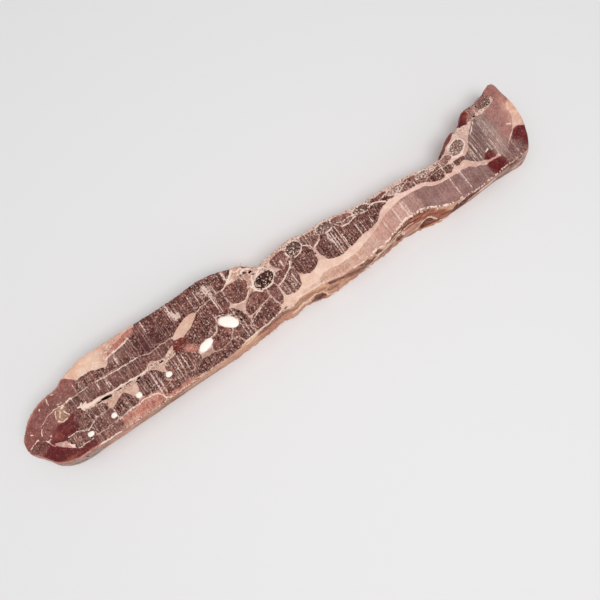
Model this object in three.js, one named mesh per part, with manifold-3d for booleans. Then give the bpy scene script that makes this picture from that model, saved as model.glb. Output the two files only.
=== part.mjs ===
// A band-sawn strip of pork ribs, frozen and raw: one slab of muscle and fat cut straight across a rack,
// with the cut ends of all the ribs in it. Millimetres, +Z up.
// The strip lies flat. x runs along it from the narrow tail to the blunt head, y across it, z up from the
// lower saw cut to the upper one. Places are given on the upper cut face, from a datum near its middle,
// and the finished strip is moved so that the origin is the centre of its underside.
import * as THREE from "three";
import { mergeVertices } from "three/addons/utils/BufferGeometryUtils.js";
import Module from "manifold-3d";

const wasm = await Module();
wasm.setup();

// ---- Driving dimensions ----

const THICKNESS = 32; // between the two saw cuts
const OUTLINE_STEPS = 4; // sides of the wall between two outline points
const WALL_LEVELS = [0, 0.1, 0.35, 0.65, 0.9, 1]; // heights of the wall's rings, as shares of the thickness
const WALL_BULGE = 1.6; // how far the natural surface of the wall swells at mid height
const RIB_GAP = 0.3; // clearance between a rib and the meat round it
const RIB_SIDES = 24;
const RIB_SQUARENESS = 2.4; // superellipse exponent of a sawn rib: 2 is an ellipse
const RIB_SLANT = { x: -0.05, y: 0.04 }; // sideways travel of a rib for each millimetre down

// The edge of the upper cut face, once round from the tail: x, y, and how far the wall's foot stands
// out beyond that edge, or in under it where the number is negative.
const OUTLINE = [
  // tail, round
  [-261, -7, 2.5], [-259.4, 0, 2], [-255.5, 4.6, 1.5], [-250, 10.2, 1], [-243.5, 14.4, 1],
  // far side: tail shoulder, with a small step where the fat patch starts
  [-233, 18.4, 1], [-215, 21.4, 1], [-211.5, 23.6, 1], [-200, 27, 1], [-190, 29.3, 0.5],
  [-165, 29.3, 0.5], [-130, 27.9, 1], [-100, 27.1, 1.5], [-78, 28, 1.5], [-62, 26, 2],
  // far side: slope into the notch, then the low waist
  [-50, 21.9, 2], [-40, 19.3, 2], [-33.5, 14.3, 2.5], [-26, 8.2, 3], [-18, 10.6, 3],
  [-4, 12.2, 3], [9, 13.2, 3], [21, 11, 3], [40, 10.4, 3], [52, 8.3, 3],
  [66, 5.3, 3], [82, 3.6, 3], [102, 2.2, 3], [124, 0.6, 2.5], [144, -3, 2.5],
  // far side: rise to the head, where the wall is undercut
  [160, -3.7, 1], [167, -0.2, 0], [173, 4.6, 0], [180, 7.4, 0], [188, 10, -2],
  [195, 13.6, -3.5], [202.5, 19.6, -2.5], [213, 19.6, 1], [221, 20.2, 2], [230, 24.3, 2],
  // head, blunt, with a pointed corner
  [236.5, 26.7, 1.5], [240.2, 25, 2], [241.5, 15, 3], [242.9, 5.8, 3.5], [243, -5, 4],
  [241.2, -17, 4.5], [237.8, -25.5, 7], [234, -33.3, 8], [229.5, -38.3, 7.5],
  // near side: under the head
  [222, -40.6, 5], [212, -40.8, 4], [200, -42.2, 1.5], [185, -43.6, 0.5], [168, -44, 1],
  [150, -42.4, 2.5], [140, -41, 4.5], [131, -36.8, 8], [123, -32.4, 10], [112, -30.8, 9.8],
  // near side: the waist, where the wall leans out most, and the belly
  [100, -31.1, 8], [88, -33, 7], [78, -36.3, 5], [64, -38, 3.6], [48, -39, 3.2],
  [28, -37.6, 5.6], [12, -34.9, 7.6], [0, -33.9, 6], [-10, -33, 5], [-22, -35.9, 4.6],
  [-31, -33.4, 4.8], [-48, -35.8, 4], [-70, -37.7, 3.2], [-85, -39.3, 2], [-115, -39.5, 0.6],
  // near side: the flat, and round to the tail
  [-160, -39.5, 0], [-192, -39, 0], [-215, -38.2, 0.8], [-232, -37.2, 2], [-241, -34.2, 3.5],
  [-247, -30, 4.5], [-251.5, -23.5, 4.5], [-256, -17.8, 4], [-259.8, -13.5, 3],
];

// The cut ends of the ribs, from tail to head: centre x, y, half length, half width and turn in degrees.
// The first six are the white gristle ends of the ribs, the others are bone with marrow.
const RIB_ENDS = [
  { kind: "gristle", x: -213, y: -26.7, long: 2.7, short: 2.1, turn: 0 },
  { kind: "gristle", x: -190, y: -25, long: 2.4, short: 2.1, turn: 0 },
  { kind: "gristle", x: -165, y: -23, long: 2.6, short: 2.3, turn: 0 },
  { kind: "gristle", x: -136, y: -23, long: 2.8, short: 2.3, turn: 0 },
  { kind: "gristle", x: -98, y: -20.7, long: 7.2, short: 3.4, turn: 14 },
  { kind: "gristle", x: -72, y: -15.6, long: 8.6, short: 4.6, turn: -42 },
  { kind: "bone", x: -28, y: -3, long: 10, short: 6.3, turn: 8 },
  { kind: "bone", x: 7, y: 4.5, long: 7.5, short: 6, turn: 15 },
  { kind: "bone", x: 40, y: 4.7, long: 8, short: 4.4, turn: 0 },
  { kind: "bone", x: 75.5, y: -0.4, long: 8.5, short: 3.2, turn: -6 },
  { kind: "bone", x: 110, y: -3.2, long: 7.5, short: 3, turn: -4 },
  { kind: "bone", x: 138, y: -6, long: 7.5, short: 2.8, turn: -6 },
  { kind: "bone", x: 177, y: -3.5, long: 9, short: 5.6, turn: 20 },
  { kind: "bone", x: 225, y: 15.5, long: 4.6, short: 4, turn: 20 },
];

// Cracks that opened along the seams of fat as the meat froze: x, y, half length, half width, depth, turn.
const CRACKS = [
  [-187.5, -9.3, 5.5, 1.3, 5, -6],
  [-196.5, -9, 3.4, 0.8, 3, 0],
  [-157.6, -11, 2.2, 1, 3, 20],
  [-135.5, -10.7, 2.2, 0.8, 3, 0],
  [-60, -16, 1.6, 5, 4, 12],
  [-38.3, 11.6, 2, 1.1, 5, -30],
];
const CRACK_SIDES = 10;
const CRACK_FLOOR = 0.35; // width of a crack's floor against its mouth

// Loose flaps of dark meat on the far wall, under the head: centre x, y, z, half sizes and turn in degrees.
const FLAPS = [
  { x: 177, y: 5.2, z: 24, size: [11, 4.2, 4], turn: 22 },
  { x: 196.5, y: 14.5, z: 23, size: [8, 5, 5], turn: 38 },
];
const FLAP_SIDES = [14, 8];

const COLOURS = {
  meat: 0x8c5f5c,
  bone: 0x5e4344,
  gristle: 0xf6f0de,
};

// ---- Solids ----

// A closed geometry as a solid that can be joined and cut.
function solidOf(geometry) {
  const bare = geometry.index ? geometry.toNonIndexed() : geometry.clone();
  bare.deleteAttribute("normal");
  bare.deleteAttribute("uv");
  const merged = mergeVertices(bare, 1e-4);
  return new wasm.Manifold(
    new wasm.Mesh({
      numProp: 3,
      vertProperties: merged.attributes.position.array,
      triVerts: new Uint32Array(merged.index.array),
    }),
  );
}

// A solid as a geometry to draw.
function geometryOf(solid) {
  const { vertProperties, triVerts } = solid.getMesh();
  const geometry = new THREE.BufferGeometry();
  geometry.setAttribute("position", new THREE.BufferAttribute(new Float32Array(vertProperties), 3));
  geometry.setIndex(new THREE.BufferAttribute(new Uint32Array(triVerts), 1));
  return geometry;
}

// The solid between rings of points stacked from the lowest to the highest, with a flat lid on each end.
// Every ring has the same number of points and runs anticlockwise seen from above.
function loft(rings) {
  const count = rings[0].length;
  const triangles = [];
  for (let level = 0; level + 1 < rings.length; level++) {
    for (let i = 0; i < count; i++) {
      const a = level * count + i;
      const b = level * count + ((i + 1) % count);
      triangles.push(a, b, a + count, b, b + count, a + count);
    }
  }
  const top = (rings.length - 1) * count;
  const flat = (ring) => ring.map((p) => new THREE.Vector2(p.x, p.y));
  for (const [a, b, c] of THREE.ShapeUtils.triangulateShape(flat(rings[0]), [])) triangles.push(a, c, b);
  for (const [a, b, c] of THREE.ShapeUtils.triangulateShape(flat(rings.at(-1)), [])) {
    triangles.push(top + a, top + b, top + c);
  }
  const geometry = new THREE.BufferGeometry().setFromPoints(rings.flat());
  geometry.setIndex(triangles);
  return solidOf(geometry);
}

// A superellipse of points about (x, y) at height z: 2 is an ellipse, more is squarer.
function oval({ x, y, long, short, turn }, z, sides, power = 2) {
  const angle = THREE.MathUtils.degToRad(turn);
  return Array.from({ length: sides }, (_, i) => {
    const around = (2 * Math.PI * i) / sides;
    const along = Math.sign(Math.cos(around)) * long * Math.abs(Math.cos(around)) ** (2 / power);
    const across = Math.sign(Math.sin(around)) * short * Math.abs(Math.sin(around)) ** (2 / power);
    return new THREE.Vector3(
      x + along * Math.cos(angle) - across * Math.sin(angle),
      y + along * Math.sin(angle) + across * Math.cos(angle),
      z,
    );
  });
}

// ---- The slab of meat ----

// Points round the edge of the upper cut, each with its outward direction and the lean of the wall there.
function edgeOfUpperCut() {
  const points = OUTLINE.map(([x, y, lean]) => new THREE.Vector3(x, y, lean)).reverse();
  const curve = new THREE.CatmullRomCurve3(points, true, "centripetal");
  const count = points.length * OUTLINE_STEPS;
  return Array.from({ length: count }, (_, i) => {
    const at = curve.getPoint(i / count);
    const heading = curve.getTangent(i / count);
    const out = new THREE.Vector2(heading.y, -heading.x).normalize();
    return { x: at.x, y: at.y, lean: at.z, out };
  });
}

// One ring of the wall at a share of the height: 0 is the foot, 1 the upper edge.
function wallRing(edge, share) {
  return edge.map(({ x, y, lean, out }) => {
    const stand = lean * (1 - share) + WALL_BULGE * Math.sin(Math.PI * share);
    return new THREE.Vector3(x + out.x * stand, y + out.y * stand, share * THICKNESS);
  });
}

function slab() {
  const edge = edgeOfUpperCut();
  return loft(WALL_LEVELS.map((share) => wallRing(edge, share)));
}

// A loose flap: a flattened ball, turned to lie along the wall.
function flap({ x, y, z, size, turn }) {
  const ball = new THREE.SphereGeometry(1, ...FLAP_SIDES);
  ball.rotateX(Math.PI / 2);
  ball.scale(...size);
  ball.rotateZ(THREE.MathUtils.degToRad(turn));
  ball.translate(x, y, z);
  return solidOf(ball);
}

// A crack: an oval pit that narrows downwards from above the upper cut.
function crack([x, y, long, short, depth, turn]) {
  const mouth = { x, y, long, short, turn };
  const floor = { ...mouth, long: long * CRACK_FLOOR, short: short * CRACK_FLOOR };
  return loft([
    oval(floor, THICKNESS - depth, CRACK_SIDES),
    oval(mouth, THICKNESS, CRACK_SIDES),
    oval(mouth, THICKNESS + 1, CRACK_SIDES),
  ]);
}

// ---- The ribs ----

// A rib end as a leaning column. over is how far it goes past both cuts, and grow how much wider it is.
function ribColumn(rib, over, grow) {
  const at = (z) => ({
    ...rib,
    x: rib.x + RIB_SLANT.x * (THICKNESS - z),
    y: rib.y + RIB_SLANT.y * (THICKNESS - z),
    long: rib.long + grow,
    short: rib.short + grow,
  });
  const heights = [-over, THICKNESS + over];
  return loft(heights.map((z) => oval(at(z), z, RIB_SIDES, RIB_SQUARENESS)));
}

// ---- Assembly ----

function named(name, solid, kind) {
  const finish = { color: COLOURS[kind], roughness: kind === "gristle" ? 0.35 : 0.5, metalness: 0 };
  const mesh = new THREE.Mesh(geometryOf(solid), new THREE.MeshStandardMaterial(finish));
  mesh.name = name;
  return mesh;
}

let meat = slab();
for (const piece of FLAPS) meat = meat.add(flap(piece));
for (const pit of CRACKS) meat = meat.subtract(crack(pit));
for (const rib of RIB_ENDS) meat = meat.subtract(ribColumn(rib, 1, RIB_GAP));

const strip = new THREE.Group();
strip.add(named("meat", meat, "meat"));
RIB_ENDS.forEach((rib, i) => {
  const name = `rib_${rib.kind}_${String(i + 1).padStart(2, "0")}`;
  strip.add(named(name, ribColumn(rib, 0, 0), rib.kind));
});

const middle = new THREE.Box3().setFromObject(strip).getCenter(new THREE.Vector3());
strip.position.set(-middle.x, -middle.y, 0);

const ribStrip = new THREE.Group();
ribStrip.add(strip);

export default ribStrip;
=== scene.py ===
"""A raw, frozen strip of pork ribs, sawn straight across the rack, lying flat with a cut face up.

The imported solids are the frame, and every piece here stands where its solid does. The slab of meat is shown
by the cut face, a fine lid with the pattern of muscle and fat, and by the flanks under it: the natural walls
and the lower cut. Each rib end is a piece of its own.

Shapes and patterns are worked out in millimetres from a datum near the middle of the strip, x along it and
y across it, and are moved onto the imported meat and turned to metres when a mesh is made.
"""

import bmesh
import bpy
import numpy as np
from mathutils import Euler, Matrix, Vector


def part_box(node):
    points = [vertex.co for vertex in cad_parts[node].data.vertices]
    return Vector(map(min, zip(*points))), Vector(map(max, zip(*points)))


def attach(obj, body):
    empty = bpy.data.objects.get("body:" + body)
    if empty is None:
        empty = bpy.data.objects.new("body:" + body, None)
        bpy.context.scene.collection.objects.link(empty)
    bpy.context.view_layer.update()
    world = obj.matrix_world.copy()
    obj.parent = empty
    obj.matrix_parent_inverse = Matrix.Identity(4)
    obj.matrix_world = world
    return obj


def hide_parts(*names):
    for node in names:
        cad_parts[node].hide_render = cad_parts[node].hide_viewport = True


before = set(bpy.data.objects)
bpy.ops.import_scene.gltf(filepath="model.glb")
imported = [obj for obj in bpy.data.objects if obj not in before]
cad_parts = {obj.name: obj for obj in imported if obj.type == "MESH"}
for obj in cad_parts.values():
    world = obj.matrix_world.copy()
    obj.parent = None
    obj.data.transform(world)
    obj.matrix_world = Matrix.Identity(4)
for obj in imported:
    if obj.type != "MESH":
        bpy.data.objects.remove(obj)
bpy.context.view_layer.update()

MM = 0.001

# ---- The strip's own measures, in millimetres ----

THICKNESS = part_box("meat")[1].z / MM
WALL_BULGE = 1.6
RIB_SLANT = (-0.05, 0.04)

# The edge of the upper cut, once round from the tail: x, y, and how far the wall's foot stands out beyond
# it, or in under it where the number is negative.
OUTLINE = [
    (-261, -7, 2.5), (-259.4, 0, 2), (-255.5, 4.6, 1.5), (-250, 10.2, 1), (-243.5, 14.4, 1),
    (-233, 18.4, 1), (-215, 21.4, 1), (-211.5, 23.6, 1), (-200, 27, 1), (-190, 29.3, 0.5),
    (-165, 29.3, 0.5), (-130, 27.9, 1), (-100, 27.1, 1.5), (-78, 28, 1.5), (-62, 26, 2),
    (-50, 21.9, 2), (-40, 19.3, 2), (-33.5, 14.3, 2.5), (-26, 8.2, 3), (-18, 10.6, 3),
    (-4, 12.2, 3), (9, 13.2, 3), (21, 11, 3), (40, 10.4, 3), (52, 8.3, 3),
    (66, 5.3, 3), (82, 3.6, 3), (102, 2.2, 3), (124, 0.6, 2.5), (144, -3, 2.5),
    (160, -3.7, 1), (167, -0.2, 0), (173, 4.6, 0), (180, 7.4, 0), (188, 10, -2),
    (195, 13.6, -3.5), (202.5, 19.6, -2.5), (213, 19.6, 1), (221, 20.2, 2), (230, 24.3, 2),
    (236.5, 26.7, 1.5), (240.2, 25, 2), (241.5, 15, 3), (242.9, 5.8, 3.5), (243, -5, 4),
    (241.2, -17, 4.5), (237.8, -25.5, 7), (234, -33.3, 8), (229.5, -38.3, 7.5),
    (222, -40.6, 5), (212, -40.8, 4), (200, -42.2, 1.5), (185, -43.6, 0.5), (168, -44, 1),
    (150, -42.4, 2.5), (140, -41, 4.5), (131, -36.8, 8), (123, -32.4, 10), (112, -30.8, 9.8),
    (100, -31.1, 8), (88, -33, 7), (78, -36.3, 5), (64, -38, 3.6), (48, -39, 3.2),
    (28, -37.6, 5.6), (12, -34.9, 7.6), (0, -33.9, 6), (-10, -33, 5), (-22, -35.9, 4.6),
    (-31, -33.4, 4.8), (-48, -35.8, 4), (-70, -37.7, 3.2), (-85, -39.3, 2), (-115, -39.5, 0.6),
    (-160, -39.5, 0), (-192, -39, 0), (-215, -38.2, 0.8), (-232, -37.2, 2), (-241, -34.2, 3.5),
    (-247, -30, 4.5), (-251.5, -23.5, 4.5), (-256, -17.8, 4), (-259.8, -13.5, 3),
]

# Rib ends: node, centre x, y, half length, half width, turn in degrees, and how pale the marrow is.
RIB_ENDS = [
    ("rib_gristle_01", -213, -26.7, 2.7, 2.1, 0, 1), ("rib_gristle_02", -190, -25, 2.4, 2.1, 0, 1),
    ("rib_gristle_03", -165, -23, 2.6, 2.3, 0, 1), ("rib_gristle_04", -136, -23, 2.8, 2.3, 0, 1),
    ("rib_gristle_05", -98, -20.7, 7.2, 3.4, 14, 1), ("rib_gristle_06", -72, -15.6, 8.6, 4.6, -42, 1),
    ("rib_bone_07", -27.6, -3.2, 10, 6.4, 10, 0), ("rib_bone_08", 7.6, 4.6, 7.3, 6.1, 15, 0.2),
    ("rib_bone_09", 40, 4.7, 8, 4.4, 0, 0.4), ("rib_bone_10", 75.5, -0.4, 8.5, 3.2, -6, 0.28),
    ("rib_bone_11", 110, -3.2, 7.5, 3, -4, 1), ("rib_bone_12", 138, -6, 7.5, 2.8, -6, 1.0),
    ("rib_bone_13", 177, -3.5, 9, 5.6, 20, 0.62), ("rib_bone_14", 225, 15.5, 4.6, 4, 20, 0.38),
]

# Cracks and pits that opened along the seams, painted dark inside as shade: x, y, half length, half width,
# depth, turn in degrees.
CRACKS = [
    (-187.5, -9.3, 5.5, 1.3, 5, -6), (-194.4, -9.3, 3.4, 0.5, 2, -4), (-157.6, -11, 2.2, 1, 3, 20),
    (-135.5, -10.7, 2.2, 0.8, 3, 0), (-62.6, -20, 0.9, 1.5, 2, 10), (-60.4, -12.6, 0.7, 1.1, 1.5, 0),
        (-38, 11.6, 1.9, 0.9, 5, -32),
    (-206, -0.6, 1.2, 1, 2, 60), (-160.4, -12.6, 1, 0.8, 2, 0), (-176, -9.9, 4, 0.4, 1.2, 2),
    (-167, -10, 4, 0.4, 1.2, 0), (-33.6, 9.2, 2, 0.9, 3, 8), (-42, 11.7, 0.9, 0.7, 2.5, 0),
    (-32.4, 6.1, 1.2, 0.6, 2, -30), (20.6, -9.4, 0.9, 1.2, 2, 0), (-26.6, -33, 2, 0.5, 1.5, 15),
    (-36, 15.6, 2.4, 0.7, 3, -38), (216.6, -41.4, 1.2, 0.7, 2, 0),
    (-34.6, -1.8, 0.7, 0.9, 1, 30), (207.5, 10.8, 1.2, 0.9, 1.5, 0), (215, 17, 0.8, 1.4, 1.5, 0),
]

# Loose dark flaps on the far wall: centre x, y, z, half sizes and turn in degrees.
FLAPS = [("flap_low", (175.6, 5.4, 29.6), (9.4, 2.5, 2.8), 27),
        ("flap_high", (198.4, 14.8, 27.4), (7.8, 2.3, 3.6), 43)]

# ---- Colours of the flesh: sRGB, then frost specks, saw streaks, wetness and how clear a seam it leaves ----

KINDS = {
    "rind": ((144, 88, 82), (0.16, 0.1, 0.6, 0.5)),
    "wet": ((100, 26, 29), (0.05, 0.0, 0.95, 0.15)),
    "ice": ((182, 144, 120), (0.35, 0.1, 0.4, 0.0)),
    "mauve": ((112, 72, 66), (0.42, 0.5, 0.3, 1.0)),
    "granular": ((84, 44, 41), (0.85, 0.6, 0.2, 0.9)),
    "dark": ((84, 39, 37), (0.8, 0.4, 0.2, 1.0)),
    "void": ((78, 52, 45), (0.8, 0.7, 0.2, 0.3)),
    "ruddy": ((108, 66, 60), (0.75, 0.3, 0.2, 1.0)),
    "brown": ((114, 50, 40), (0.25, 0.0, 0.4, 0.2)),
    "salmon": ((202, 138, 121), (0.5, 0.2, 0.2, 0.3)),
    "frosted": ((110, 76, 70), (0.95, 0.9, 0.1, 0.9)),
    "striped": ((124, 102, 97), (0.14, 0.9, 0.3, 0.1)),
    "pale_warm": ((222, 177, 156), (0.05, 0.35, 0.4, 0.0)),
    "pale": ((204, 157, 144), (0.08, 0.5, 0.4, 0.0)),
    "pale_cool": ((146, 110, 106), (0.1, 0.2, 0.4, 0.0)),
    "head": ((167, 121, 113), (0.06, 0.12, 0.5, 0.1)),
    "skin": ((176, 155, 145), (0.3, 0.0, 0.4, 0.0)),
    "umber": ((156, 110, 97), (0.45, 0.1, 0.3, 0.0)),
    "tan": ((194, 146, 124), (0.1, 0.1, 0.3, 0.0)),
    "rosy": ((198, 152, 142), (0.1, 0.1, 0.5, 0.0)),
    "cream": ((246, 216, 190), (0.0, 0.1, 0.3, 0.0)),
    "liver": ((104, 54, 44), (0.3, 0.1, 0.4, 0.0)),
    "redwall": ((158, 93, 76), (0.05, 0.1, 0.4, 0.0)),
}

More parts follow.
